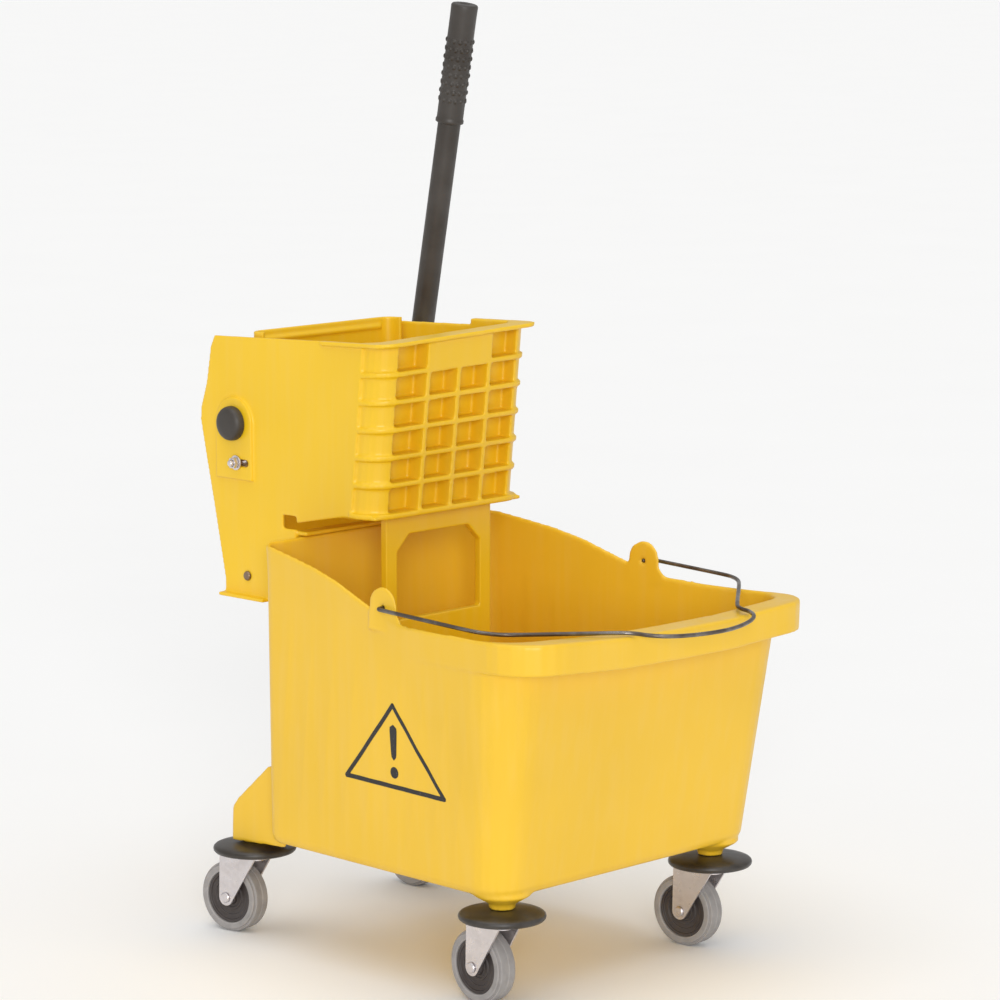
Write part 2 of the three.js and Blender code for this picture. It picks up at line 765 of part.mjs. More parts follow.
function chamberFloor() {
  const front = frontFoot() + 2;
  const slope = (CHAMBER_BOTTOM - FLOOR_REAR.z) / (FLOOR_REAR.y - front);
  const plate = extrudeX([
    [front, CHAMBER_BOTTOM],
    [FLOOR_REAR.y, FLOOR_REAR.z],
    [FLOOR_REAR.y, FLOOR_REAR.z + FLOOR_T],
    [front, CHAMBER_BOTTOM + FLOOR_T],
  ], -SIDE_IN - 1, SIDE_IN + 1);
  const span = FLOOR_REAR.y - front - FRONT_T - 6;
  const drains = [];
  for (let row = 0; row < DRAIN.rows; row++) {
    for (let col = 0; col < DRAIN.cols; col++) {
      const y = front + FRONT_T + (span * (row + 0.5)) / DRAIN.rows;
      const x = ((col + 0.5) / DRAIN.cols - 0.5) * 2 * (SIDE_IN - 6);
      const z = CHAMBER_BOTTOM - slope * (y - front);
      drains.push(box(x - DRAIN.l / 2, x + DRAIN.l / 2, y - DRAIN.w / 2, y + DRAIN.w / 2, z - 8, z + 12));
    }
  }
  return cut(plate, drains);
}

// Hooks over the bucket's rear rim and hangs down behind it.
function rearApron() {
  const hookZ = RIM_REAR + GAP;
  return extrudeX([
    [STEM_FRONT - 14, hookZ],
    [STEM_FRONT, hookZ],
    [STEM_FRONT, STEM_BOTTOM],
    [STEM_FRONT + 4, STEM_BOTTOM],
    [STEM_FRONT + 4, hookZ + HOOK_T],
    [STEM_FRONT - 14, hookZ + HOOK_T],
  ], -SIDE_IN - 1, SIDE_IN + 1);
}

function legFrame() {
  const c = WINDOW_CHAMFER;
  const w = LEG_HALF - LEG_POST;
  const outline = [
    [-LEG_HALF, LEG_BOTTOM], [LEG_HALF, LEG_BOTTOM],
    [LEG_HALF, CHAMBER_BOTTOM], [-LEG_HALF, CHAMBER_BOTTOM],
  ];
  const window = [
    [-w, WINDOW_BOTTOM], [-w, WINDOW_TOP - c], [-w + c, WINDOW_TOP],
    [w - c, WINDOW_TOP], [w, WINDOW_TOP - c], [w, WINDOW_BOTTOM],
  ];
  const rearInner = wallInnerRear(LEG_BOTTOM);
  const braces = [-1, 1].map((side) => {
    const x = side * (LEG_HALF - BRACE / 2);
    const back = rearInner - 1;
    return box(x - BRACE / 2, x + BRACE / 2, LEG_Y + LEG_T - 1, back, LEG_BOTTOM, LEG_BOTTOM + BRACE);
  });
  return join([extrudeY(outline, LEG_Y, LEG_Y + LEG_T, [window]), ...braces]);
}

// Inner face of the bucket's rear wall at height z.
function wallInnerRear(z) {
  const t = (z - BUCKET_BOTTOM) / (RIM_REAR - BUCKET_BOTTOM);
  return THREE.MathUtils.lerp(BOTTOM_PLAN.rear, TOP_PLAN.rear, t) - BUCKET_WALL;
}

function stopSlot(side) {
  const x = side * SIDE_X;
  const r = STOP_R + GAP;
  const outline = [
    ...arc(STOP.y, STOP.z, r, -90, 90, 6),
    ...arc(STOP.y - STOP_SLOT, STOP.z, r, 90, 270, 6),
  ];
  return extrudeX(outline, x - 10, x + 10);
}

function wringerBodyGeometry() {
  const sides = [-1, 1];
  const solid = join([
    chamberShell(),
    flange(TOP_FLANGE, CHAMBER_TOP - TOP_FLANGE.h, CHAMBER_BACK),
    flange(BOTTOM_FLANGE, CHAMBER_BOTTOM, 70),
    ...sides.map(sidePlate),
    ...sides.map(sidePad),
    ...sides.map(footFlange),
    chamberFloor(),
    rearApron(),
    legFrame(),
  ]);
  const bores = sides.flatMap((side) => {
    const x = side * SIDE_X;
    return [
      rodX(SHAFT_BORE, x - 10, x + 10, SHAFT.y, SHAFT.z, 24),
      rodX(HINGE_R + GAP, x - 10, x + 10, HINGE.y, HINGE.z, 14),
      stopSlot(side),
    ];
  });
  return cut(solid, [...gridPockets(), ...bores]);
}

// ---------- wringer mechanism ----------

// Position of a crank pin in the press plate's own frame, for a share of the full stroke.
function pinInPlate(share) {
  const crank = rad(CRANK_REST - share * LEVER_TURN);
  const lean = PLATE_LEAN - rad(share * PLATE_TURN);
  const dy = SHAFT.y + CRANK_R * Math.sin(crank) - HINGE.y;
  const dz = SHAFT.z - CRANK_R * Math.cos(crank) - HINGE.z;
  return [dy * Math.cos(lean) - dz * Math.sin(lean), dy * Math.sin(lean) + dz * Math.cos(lean)];
}

function pinTrack() {
  const points = Array.from({ length: 21 }, (_, i) => pinInPlate(i / 20));
  const reach = CRANK_PIN_R + RUNNING;
  const us = points.map(([u]) => u);
  const vs = points.map(([, v]) => v);
  return {
    u0: Math.min(...us) - reach,
    u1: Math.max(...us) + reach,
    v0: Math.min(...vs) - reach,
    v1: Math.max(...vs) + reach,
  };
}

function plateLug(side) {
  const slot = pinTrack();
  const x0 = side > 0 ? LUG_X : -LUG_X - LUG_T;
  const e = LUG_EDGE;
  const outline = [
    [-1, slot.v0 - e - 14],
    [slot.u0 - e, slot.v0 - e - 4],
    ...arc(slot.u1 + e - 8, slot.v0 - e + 8, 8, -90, 0, 3),
    ...arc(slot.u1 + e - 8, slot.v1 + e - 8, 8, 0, 90, 3),
    [-1, slot.v1 + e],
  ];
  const r = (slot.u1 - slot.u0) / 2 - 0.01;
  const hole = rounded(slot.u0, slot.u1, slot.v0, slot.v1, r, 4).reverse();
  return extrudeX(outline, x0, x0 + LUG_T, [hole]);
}

// Press plate in its own frame: hinge on the origin, z up the plate, y towards the back.
function pressPlateGeometry() {
  const w = PLATE_HALF;
  const t = PLATE_SKIN;
  const r = WING_R;
  const tray = [
    [w - t, -WING], [w, -WING],
    ...arc(w - r, -r, r, 0, 90, 4),
    ...arc(-w + r, -r, r, 90, 180, 4),
    [-w, -WING], [-w + t, -WING],
    ...arc(-w + r, -r, r - t, 180, 90, 4),
    ...arc(w - r, -r, r - t, 90, 0, 4),
  ];
  const ridges = Array.from({ length: RIDGES }, (_, i) => {
    const z = WING_START + 14 + (i * (PLATE_TOP - WING_START - 24)) / (RIDGES - 1);
    return box(-w + r + 2, w - r - 2, -t - 2.5, -t + 1, z - 2, z + 2);
  });
  const ribTop = SHAFT.z - HINGE.z - SHAFT_R - 12; // the ribs end below the shaft
  const ribs = [-1, 1].flatMap((side) => [LUG_X, PLATE_HALF - 5].map((x) => {
    const x0 = side > 0 ? x : -x - 5;
    return box(x0, x0 + 5, -1, PLATE_BACK, HINGE_R + 2, ribTop);
  }));
  const hub = HINGE_R + 5;
  return cut(join([
    extrudeZ(tray, WING_START, PLATE_TOP),
    box(-w, w, -t, 0, HINGE_R, WING_START + 1),
    rodX(hub, -w, w, 0, 0, 18),
    ...ridges,
    ...ribs,
    plateLug(-1),
    plateLug(1),
  ]), [rodX(HINGE_R + RUNNING, -w - 5, w + 5, 0, 0, 14)]);
}

function shaftGeometry() {
  return rodX(SHAFT_R, -SIDE_X - PAD_T - 2, HANDLE_X + TUBE_R + 3, 0, 0, 20);
}

function capGeometry() {
  const base = SIDE_X + PAD_T + RUNNING;
  const bore = SHAFT_R + GAP;
  return turnX([
    [0, -base - CAP_H],
    [CAP_R * 0.55, -base - CAP_H + 1],
    [CAP_R * 0.85, -base - CAP_H + 3.5],
    [CAP_R, -base - CAP_H + 8],
    [CAP_R, -base],
    [bore, -base],
    [bore, -base - 2.5],
    [0, -base - 2.5],
  ], 28);
}

function crankGeometry() {
  const hub = SHAFT_R + 4;
  const tip = CRANK_PIN_R + 5;
  const outline = [
    ...arc(0, 0, hub, 10, 170, 8),
    ...arc(0, -CRANK_R, tip, 190, 350, 8),
  ];
  const bores = [
    circle(0, 0, SHAFT_R + GAP, 20).reverse(),
    circle(0, -CRANK_R, CRANK_PIN_R + GAP, 14).reverse(),
  ];
  return extrudeX(outline, CRANK_X, CRANK_X + CRANK_T, bores).rotateX(rad(CRANK_REST));
}

function crankPinGeometry() {
  const inner = LUG_X - 2;
  const outer = CRANK_X + CRANK_T + GAP;
  const pin = turnX([
    [0, inner],
    [CRANK_PIN_R, inner],
    [CRANK_PIN_R, outer],
    [CRANK_PIN_R + 2, outer],
    [CRANK_PIN_R + 2, outer + 2],
    [0, outer + 2],
  ], 16);
  return pin.translate(0, 0, -CRANK_R).rotateX(rad(CRANK_REST));
}

// Bolt through the side plate's slot: head inside as the press plate's stop, thread outside.
function stopBoltGeometry() {
  const outer = SIDE_X + PAD_T + 11;
  return turnX([
    [0, SIDE_IN - 12],
    [STOP_R, SIDE_IN - 12],
    [STOP_R, SIDE_IN - 4],
    [STOP_R + 3, SIDE_IN - 4],
    [STOP_R + 3, SIDE_IN - GAP],
    [STOP_R, SIDE_IN - GAP],
    [STOP_R, outer - 1],
    [STOP_R - 1, outer],
    [0, outer],
  ], 14);
}

function washerGeometry() {
  const x0 = SIDE_X + PAD_T + GAP;
  const r = STOP_R + GAP;
  return turnX([[r, x0], [8, x0], [8, x0 + 1.6], [r, x0 + 1.6], [r, x0]], 20);
}

function nutGeometry() {
  const x0 = SIDE_X + PAD_T + 2 * GAP + 1.6;
  return extrudeX(circle(0, 0, 6.2, 6), x0, x0 + 5, [circle(0, 0, STOP_R + GAP, 14).reverse()]);
}

function hingePinGeometry() {
  const end = SIDE_X + GAP;
  return turnX([
    [0, -end - 2.5],
    [RIVET_R - 1, -end - 2.5],
    [RIVET_R, -end - 1],
    [RIVET_R, -end],
    [HINGE_R, -end],
    [HINGE_R, end],
    [RIVET_R, end],
    [RIVET_R, end + 1],
    [RIVET_R - 1, end + 2.5],
    [0, end + 2.5],
  ], 16);
}

// ---------- lever handle, along z from the shaft ----------

function socketGeometry() {
  const x0 = SIDE_X + PAD_T + RUNNING;
  const x1 = HANDLE_X + TUBE_R + 2;
  const body = join([
    rodX(COLLAR_R, x0, HANDLE_X, 0, 0, 24),
    rodX(SOCKET_R, HANDLE_X - SOCKET_R, x1, 0, 0, 24),
    rodZ(SOCKET_R, 0, SOCKET_L, HANDLE_X, 0, 24),
  ]);
  return cut(body, [
    rodX(SHAFT_R + GAP, x0 - 5, x1 + 5, 0, 0, 20),
    rodZ(TUBE_R + GAP, SOCKET_DEPTH - GAP, SOCKET_L + 5, HANDLE_X, 0, 24),
    rodX(HANDLE_BOLT_R + GAP, HANDLE_X - 30, HANDLE_X + 30, 0, SOCKET_L - 16, 12),
  ]);
}

function handleTubeGeometry() {
  const inner = TUBE_R - TUBE_WALL;
  const top = HANDLE_TOP - 4;
  const tube = turnZ([
    [inner, SOCKET_DEPTH],
    [TUBE_R, SOCKET_DEPTH],
    [TUBE_R, top],
    [inner, top],
    [inner, SOCKET_DEPTH],
  ], 24).translate(HANDLE_X, 0, 0);
  return cut(tube, [rodX(HANDLE_BOLT_R + GAP, HANDLE_X - 30, HANDLE_X + 30, 0, SOCKET_L - 16, 12)]);
}

function gripGeometry() {
  const low = HANDLE_TOP - GRIP_L;
  const inner = TUBE_R + GAP;
  const rings = 7;
  const beads = Array.from({ length: rings }, (_, i) => {
    const z = low + 18 + (i * (GRIP_L - 36)) / (rings - 1);
    return [[GRIP_R - 1.2, z - 6], [GRIP_R, z], [GRIP_R - 1.2, z + 6]];
  }).flat();
  return turnZ([
    [inner, low],
    [GRIP_R - 0.5, low],
    [GRIP_R - 0.5, low + 5],
    [GRIP_R - 1.6, low + 7],
    ...beads,
    [GRIP_R - 0.5, HANDLE_TOP - 8],
    [GRIP_R - 0.5, HANDLE_TOP - 2],
    [GRIP_R - 3, HANDLE_TOP],
    [0, HANDLE_TOP],
    [0, HANDLE_TOP - 4 + GAP],
    [inner, HANDLE_TOP - 4 + GAP],
    [inner, low],
  ], 20).translate(HANDLE_X, 0, 0);
}

function handleBoltGeometry() {
  const reach = SOCKET_R + GAP;
  const bolt = turnX([
    [0, -reach - 3.5],
    [5, -reach - 3.5],
    [5.5, -reach],
    [HANDLE_BOLT_R, -reach],
    [HANDLE_BOLT_R, reach],
    [5.5, reach],
    [5, reach + 3.5],
    [0, reach + 3.5],
  ], 14);
  return bolt.translate(HANDLE_X, 0, SOCKET_L - 16);
}

// ---------- materials ----------

function material(color, roughness, metalness = 0) {
  return new THREE.MeshStandardMaterial({ color, roughness, metalness });
}

const YELLOW = material(0xf0c23c, 0.42);
const DARK_PLASTIC = material(0x4a4540, 0.5);
const BUMPER_RUBBER = material(0x3c3630, 0.6);
const TREAD_GREY = material(0xa39d9a, 0.65);
const HUB_DARK = material(0x4b4240, 0.5);
const ZINC = material(0xcfc4c6, 0.35, 0.9);
const BRONZE = material(0x9a7446, 0.4, 0.8);
const WIRE_STEEL = material(0x5c4a3c, 0.35, 0.8);

// ---------- assembly ----------

const part = new THREE.Group();
part.name = "mop_bucket_with_wringer";
part.position.y = -CENTRE_Y;

function add(parent, name, geometry, look) {
  const mesh = new THREE.Mesh(geometry, look);
  mesh.name = name;
  parent.add(mesh);
  return mesh;
}

function group(parent, x, y, z) {
  const made = new THREE.Group();
  made.position.set(x, y, z);
  parent.add(made);
  return made;
}

add(part, "bucket", bucketGeometry(), YELLOW);

const bailGroup = group(part, 0, EAR.y, EAR.z);
bailGroup.rotation.x = rad(BAIL_DROOP);
add(bailGroup, "bail", wire(bailPath(), BAIL_R, 8), WIRE_STEEL);

const CASTERS = [
  ["front_left", -1, FRONT_CASTER],
  ["front_right", 1, FRONT_CASTER],
  ["rear_left", -1, REAR_CASTER],
  ["rear_right", 1, REAR_CASTER],
];
CASTERS.forEach(([name, side, at]) => {
  const fixed = group(part, side * at.x, at.y, 0);
  add(fixed, `caster_stem_${name}`, stemGeometry(), ZINC);
  add(fixed, `bumper_${name}`, bumperGeometry(), BUMPER_RUBBER);
  const swivel = group(fixed, 0, 0, 0);
  swivel.rotation.z = rad(SWIVEL[name]);
  add(swivel, `fork_${name}`, forkGeometry(), ZINC);
  const wheel = group(swivel, 0, TRAIL, WHEEL_R);
  add(wheel, `axle_${name}`, axleGeometry(), ZINC);
  add(wheel, `hub_${name}`, hubGeometry(), HUB_DARK);
  add(wheel, `tyre_${name}`, tyreGeometry(), TREAD_GREY);
});

add(part, "wringer_body", wringerBodyGeometry(), YELLOW);

const plateGroup = group(part, 0, HINGE.y, HINGE.z);
plateGroup.rotation.x = -PLATE_LEAN;
add(plateGroup, "press_plate", pressPlateGeometry(), YELLOW);
add(plateGroup, "hinge_pin", hingePinGeometry(), BRONZE);

const shaftGroup = group(part, 0, SHAFT.y, SHAFT.z);
add(shaftGroup, "cross_shaft", shaftGeometry(), ZINC);
add(shaftGroup, "shaft_cap", capGeometry(), DARK_PLASTIC);
[["left", -1], ["right", 1]].forEach(([name, side]) => {
  const crank = group(shaftGroup, 0, 0, 0);
  crank.scale.x = side;
  add(crank, `crank_arm_${name}`, crankGeometry(), ZINC);
  add(crank, `crank_pin_${name}`, crankPinGeometry(), ZINC);
  const stop = group(part, 0, STOP.y, STOP.z);
  stop.scale.x = side;
  add(stop, `stop_bolt_${name}`, stopBoltGeometry(), ZINC);
  add(stop, `stop_washer_${name}`, washerGeometry(), ZINC);
  add(stop, `stop_nut_${name}`, nutGeometry(), ZINC);
});

const lever = group(shaftGroup, 0, 0, 0);
lever.rotation.x = rad(HANDLE_LEAN);
add(lever, "handle_socket", socketGeometry(), DARK_PLASTIC);
add(lever, "handle_tube", handleTubeGeometry(), DARK_PLASTIC);
add(lever, "handle_grip", gripGeometry(), DARK_PLASTIC);
add(lever, "handle_bolt", handleBoltGeometry(), ZINC);

export default part;
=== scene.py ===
import json
import math

import bmesh
import bpy
from bpy.props import FloatProperty, FloatVectorProperty, IntProperty, PointerProperty
from mathutils import Euler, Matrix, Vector
from mathutils.bvhtree import BVHTree

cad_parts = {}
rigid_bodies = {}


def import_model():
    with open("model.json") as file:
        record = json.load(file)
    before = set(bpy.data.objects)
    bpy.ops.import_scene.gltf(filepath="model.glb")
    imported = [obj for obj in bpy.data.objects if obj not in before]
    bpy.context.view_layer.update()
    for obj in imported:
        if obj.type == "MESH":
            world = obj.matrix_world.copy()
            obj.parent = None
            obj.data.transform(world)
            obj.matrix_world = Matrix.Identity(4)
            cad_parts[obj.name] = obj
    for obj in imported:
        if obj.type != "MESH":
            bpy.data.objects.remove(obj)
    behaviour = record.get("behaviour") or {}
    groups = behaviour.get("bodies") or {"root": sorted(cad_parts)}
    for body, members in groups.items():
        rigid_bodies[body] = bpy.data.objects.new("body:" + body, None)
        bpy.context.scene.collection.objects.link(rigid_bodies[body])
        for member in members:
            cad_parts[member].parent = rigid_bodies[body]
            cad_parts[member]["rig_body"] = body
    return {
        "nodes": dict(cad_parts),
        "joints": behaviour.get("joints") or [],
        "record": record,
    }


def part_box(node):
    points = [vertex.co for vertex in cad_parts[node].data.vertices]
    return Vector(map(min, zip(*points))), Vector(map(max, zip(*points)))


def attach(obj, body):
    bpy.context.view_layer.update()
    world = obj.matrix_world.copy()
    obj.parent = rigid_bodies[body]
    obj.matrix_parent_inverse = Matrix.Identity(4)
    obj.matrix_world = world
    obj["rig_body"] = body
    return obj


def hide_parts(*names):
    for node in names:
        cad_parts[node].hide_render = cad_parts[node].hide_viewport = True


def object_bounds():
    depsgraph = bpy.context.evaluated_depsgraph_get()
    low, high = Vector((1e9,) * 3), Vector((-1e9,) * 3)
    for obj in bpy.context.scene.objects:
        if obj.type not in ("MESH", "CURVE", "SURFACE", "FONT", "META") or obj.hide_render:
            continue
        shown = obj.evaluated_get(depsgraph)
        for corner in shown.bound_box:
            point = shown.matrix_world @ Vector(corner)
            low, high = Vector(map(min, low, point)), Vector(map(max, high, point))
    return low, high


bl_info = {
    "name": "Mop bucket with wringer",
    "version": (1, 0, 0),
    "blender": (4, 5, 0),
    "location": "View3D > Sidebar > Mop bucket",
    "description": "Finished pieces, materials and stage for a wheeled mop bucket with a wringer",
    "category": "Object",
}

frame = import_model()
CAD_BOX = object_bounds()
MM = 0.001
CORNERS = ("front_left", "front_right", "rear_left", "rear_right")
SIDES = ("left", "right")
FRAME_SLOTS = [row["slot"] for row in frame["record"]["materials"]]


# ---------- sizes and colours a user would change ----------


def length(name, description, default, **limits):
    return FloatProperty(name=name, description=description, default=default,
                         subtype="DISTANCE", unit="LENGTH", precision=5, **limits)


def angle(name, description, default):
    return FloatProperty(name=name, description=description, default=math.radians(default),
                         subtype="ANGLE", unit="ROTATION")


def colour(name, description, default):
    return FloatVectorProperty(name=name, description=description, default=default,
                               size=3, min=0, max=1, subtype="COLOR")


class MopBucketSizes(bpy.types.PropertyGroup):
    """Small sizes that the finished pieces add to the frame."""

    moulded_round: length("Moulded edge", "Rounding on the edges of the moulded pieces", 1.1 * MM)
    bucket_cell: length("Bucket grid", "Cell of the grid that the bucket is cast on", 1.9 * MM)
    cast_cell: length("Wringer grid", "Cell of the grid that the wringer is cast on", 1.3 * MM)
    metal_round: length("Metal edge", "Rounding on the edges of the metal pieces", 0.35 * MM)
    handle_lean: angle("Handle lean", "How far the lever leans forward at rest", 10.6)
    bead_height: length("Bead height", "How far a grip bead stands out", 1.5 * MM)
    bead_radius: length("Bead radius", "Radius of a grip bead's foot", 2.6 * MM)
    bead_pitch: length("Bead pitch", "Distance between rows of grip beads", 9.3 * MM)
    beads_round: IntProperty(name="Beads round", description="Beads in one row", default=12)
    mark_width: length("Mark width", "Width of the caution triangle", 0.163)
    mark_height: length("Mark height", "Height of the caution triangle", 0.0905)
    mark_line: length("Mark line", "Line width of the caution triangle", 0.0047)
    mark_along: length("Mark place", "Middle of the caution triangle along the bucket", -0.057)
    mark_up: length("Mark foot", "Height of the caution triangle's lower edge", 0.2104)
    ink: length("Ink", "Thickness of the printed mark", 0.25 * MM)


class MopBucketColours(bpy.types.PropertyGroup):
    """Base colour of each finish."""

    yellow_plastic: colour("Yellow plastic", "Bucket", (0.84, 0.515, 0.024))
    wringer_yellow: colour("Wringer yellow", "Wringer body and press plate", (0.84, 0.525, 0.010))
    dark_plastic: colour("Dark plastic", "Lever, grip and cap", (0.031, 0.024, 0.018))
    dark_hub: colour("Hub", "Wheel centres", (0.040, 0.029, 0.026))
    bumper_rubber: colour("Bumper", "Bumpers over the casters", (0.030, 0.024, 0.019))
    grey_tread: colour("Tread", "Tyres", (0.33, 0.31, 0.30))
    zinc_steel: colour("Zinc", "Forks, bolts and shaft", (0.72, 0.68, 0.69))
    bronze_pin: colour("Rivet", "Hinge pin of the press plate", (0.20, 0.115, 0.05))
    bail_wire: colour("Wire", "Carrying bail", (0.12, 0.10, 0.085))
    print_ink: colour("Ink", "Printed caution mark", (0.012, 0.010, 0.009))


class MopBucketStage(bpy.types.PropertyGroup):
    """Camera and light."""

    view_azimuth: angle("View azimuth", "Where the camera stands round the object", -46.0)
    view_elevation: angle("View elevation", "How far the camera looks down", 8.87)
    view_point: FloatVectorProperty(name="Camera place", description="Where the camera stands",
                                    default=(-3.02067, -2.93651, 1.13607), subtype="TRANSLATION")
    lens: FloatProperty(name="Lens", description="Focal length in millimetres", default=147.1)
    sky: FloatProperty(name="Room light", description="Strength of the white room", default=0.57)
    key: FloatProperty(name="Key light", description="Strength of the front light", default=1.3)
    key_softness: angle("Key softness", "How wide the key light is in the sky", 22.0)
    key_azimuth: angle("Key azimuth", "Where the key light stands round the object", -43.0)
    key_elevation: angle("Key elevation", "How high the key light stands", 13.0)
    top: FloatProperty(name="Top light", description="Strength of the light from above", default=1.05)
    top_softness: angle("Top softness", "How wide the top light is in the sky", 60.0)
    top_azimuth: angle("Top azimuth", "Where the top light stands round the object", -60.0)
    top_elevation: angle("Top elevation", "How high the top light stands", 78.0)


# ---------- materials ----------

MIX_SHARE, MIX_FIRST, MIX_SECOND = 0, 6, 7  # input sockets of a mix node that mixes colours
MIX_RESULT = 2  # its output socket
NOISE = (0.3, 0.7)  # nearly all of a noise lies between these
# painted highlight on rounded edges: its patch scale and its strength on each finish
EDGE_HIGHLIGHT_PATCH_SCALE = 90.0
PLASTIC_EDGE_HIGHLIGHT, DARK_EDGE_HIGHLIGHT, TREAD_EDGE_HIGHLIGHT = 0.6, 0.5, 0.6
ZINC_STAIN = (0.42, 0.36, 0.33)


def add_node(tree, kind, inputs=None, **settings):
    made = tree.nodes.new(kind)
    for key, value in settings.items():
        setattr(made, key, value)
    for key, value in (inputs or {}).items():
        if isinstance(value, bpy.types.NodeSocket):
            tree.links.new(value, made.inputs[key])
        else:
            made.inputs[key].default_value = value
    return made


def blank_finish(name, colour, roughness, metallic=0.0):
    material = bpy.data.materials.new(name)
    material.use_nodes = True
    tree = material.node_tree
    surface = tree.nodes["Principled BSDF"]
    surface.inputs["Base Color"].default_value = (*colour, 1)
    surface.inputs["Roughness"].default_value = roughness
    surface.inputs["Metallic"].default_value = metallic
    place = add_node(tree, "ShaderNodeTexCoord").outputs["Object"]
    return material, tree, surface, place


def vary_roughness(tree, surface, noise, low, high):
    """Lets the roughness drift between low and high with the noise."""
    tree.links.new(spread(tree, noise, *NOISE, low, high), surface.inputs["Roughness"])


def clouds(tree, place, scale, detail=3.0, stretch=None):
    """Noise from 0 to 1 that varies over about 1 / scale metres, longer where stretched."""
    if stretch:
        stretched = {"Vector": place, "Scale": stretch}
        place = add_node(tree, "ShaderNodeMapping", stretched).outputs["Vector"]
    inputs = {"Vector": place, "Scale": scale, "Detail": detail}
    return add_node(tree, "ShaderNodeTexNoise", inputs).outputs["Fac"]


def spread(tree, value, low, high, to_low=0.0, to_high=1.0):
    """Maps low..high onto to_low..to_high and stops there."""
    inputs = {"Value": value, "From Min": low, "From Max": high, "To Min": to_low, "To Max": to_high}
    return add_node(tree, "ShaderNodeMapRange", inputs).outputs["Result"]


def blend(tree, share, first, second):
    mix = add_node(tree, "ShaderNodeMix", data_type="RGBA")
    for index, value in ((MIX_SHARE, share), (MIX_FIRST, first), (MIX_SECOND, second)):
        if isinstance(value, bpy.types.NodeSocket):
            tree.links.new(value, mix.inputs[index])
        else:
            mix.inputs[index].default_value = (*value, 1)
    return mix.outputs[MIX_RESULT]


def scaled(colour, factor):
    return tuple(min(c * factor, 1.0) for c in colour)


def lighter(colour, share):
    return tuple(c + (1 - c) * share for c in colour)


def add_bumps(tree, surface, layers):
    """layers are (height socket, strength, depth in metres), the coarsest first."""
    normal = None
    for height, strength, depth in layers:
        inputs = {"Height": height, "Strength": strength, "Distance": depth}
        if normal:
            inputs["Normal"] = normal
        normal = add_node(tree, "ShaderNodeBump", inputs).outputs["Normal"]
    tree.links.new(normal, surface.inputs["Normal"])


def painted_edge_highlight(tree, place, most):
    """Painted edge highlight: up to most on the rounded edges, patchy, and 0 on flats."""
    edge = add_node(tree, "ShaderNodeAttribute", attribute_name="rubbed").outputs["Fac"]
    patchy = spread(tree, clouds(tree, place, EDGE_HIGHLIGHT_PATCH_SCALE), *NOISE, most * 0.3, most)
    product = add_node(tree, "ShaderNodeMath", {0: edge, 1: patchy}, operation="MULTIPLY")
    return product.outputs["Value"]


def yellow_plastic(name, colour):
    """Moulded polypropylene: faint flow clouds, satin skin with fine grain, painted highlight streaks and
    paler edges as a painted highlight.
    """
    material, tree, surface, place = blank_finish(name, colour, 0.38)
    flow = clouds(tree, place, 5.0, 2.0)
    mottled = blend(tree, spread(tree, flow, *NOISE), scaled(colour, 0.965), scaled(colour, 1.035))
    # paler vertical streaks in the colour: painted highlight streaks
    highlight_streaks = clouds(tree, place, 1.0, 4.0, (90, 90, 7))
    streaked_with_highlight = blend(tree, spread(tree, highlight_streaks, 0.45, 0.8, 0, 0.22), mottled, lighter(colour, 0.10))
    # paler rounded edges: painted edge highlight
    base = blend(tree, painted_edge_highlight(tree, place, PLASTIC_EDGE_HIGHLIGHT), streaked_with_highlight, lighter(colour, 0.16))
    tree.links.new(base, surface.inputs["Base Color"])
    vary_roughness(tree, surface, clouds(tree, place, 34.0), 0.31, 0.45)
    add_bumps(tree, surface, [
        (flow, 0.10, 6 * MM),
        (clouds(tree, place, 1100.0, 2.0), 0.10, 0.10 * MM),
    ])
    return material


def dark_plastic(name, colour):
    """Dark moulded plastic with a dusty satin skin."""
    material, tree, surface, place = blank_finish(name, colour, 0.46)
    dust = clouds(tree, place, 22.0, 4.0)
    base = blend(tree, spread(tree, dust, 0.35, 0.75, 0.0, 0.6), colour, lighter(colour, 0.045))
    # paler rounded edges: painted edge highlight
    edge = blend(tree, painted_edge_highlight(tree, place, DARK_EDGE_HIGHLIGHT), base, lighter(colour, 0.10))
    tree.links.new(edge, surface.inputs["Base Color"])
    vary_roughness(tree, surface, clouds(tree, place, 60.0), 0.40, 0.56)
    add_bumps(tree, surface, [
        (clouds(tree, place, 1.0, 3.0, (500, 500, 40)), 0.10, 0.15 * MM),
        (clouds(tree, place, 1400.0, 2.0), 0.22, 0.10 * MM),
    ])
    return material


def bumper_rubber(name, colour):
    """Smooth near-black rubber with a faint bloom."""
    material, tree, surface, place = blank_finish(name, colour, 0.36)
    bloom = clouds(tree, place, 45.0, 4.0)
    base = blend(tree, spread(tree, bloom, 0.45, 0.8, 0.0, 0.7), colour, lighter(colour, 0.05))
    tree.links.new(base, surface.inputs["Base Color"])
    vary_roughness(tree, surface, bloom, 0.28, 0.44)
    add_bumps(tree, surface, [(clouds(tree, place, 1200.0, 2.0), 0.12, 0.08 * MM)])
    return material


def grey_tread(name, colour):
    """Matt grey non-marking rubber, a little dirty where it rolls."""
    material, tree, surface, place = blank_finish(name, colour, 0.62)
    dirt = clouds(tree, place, 70.0, 5.0)
    base = blend(tree, spread(tree, dirt, 0.4, 0.75, 0.0, 0.55), colour, scaled(colour, 0.62))
    # paler rounded edges: painted edge highlight
    edge = blend(tree, painted_edge_highlight(tree, place, TREAD_EDGE_HIGHLIGHT), base, scaled(colour, 1.5))
    tree.links.new(edge, surface.inputs["Base Color"])
    vary_roughness(tree, surface, dirt, 0.5, 0.72)
    add_bumps(tree, surface, [(clouds(tree, place, 900.0, 3.0), 0.25, 0.12 * MM)])
    return material


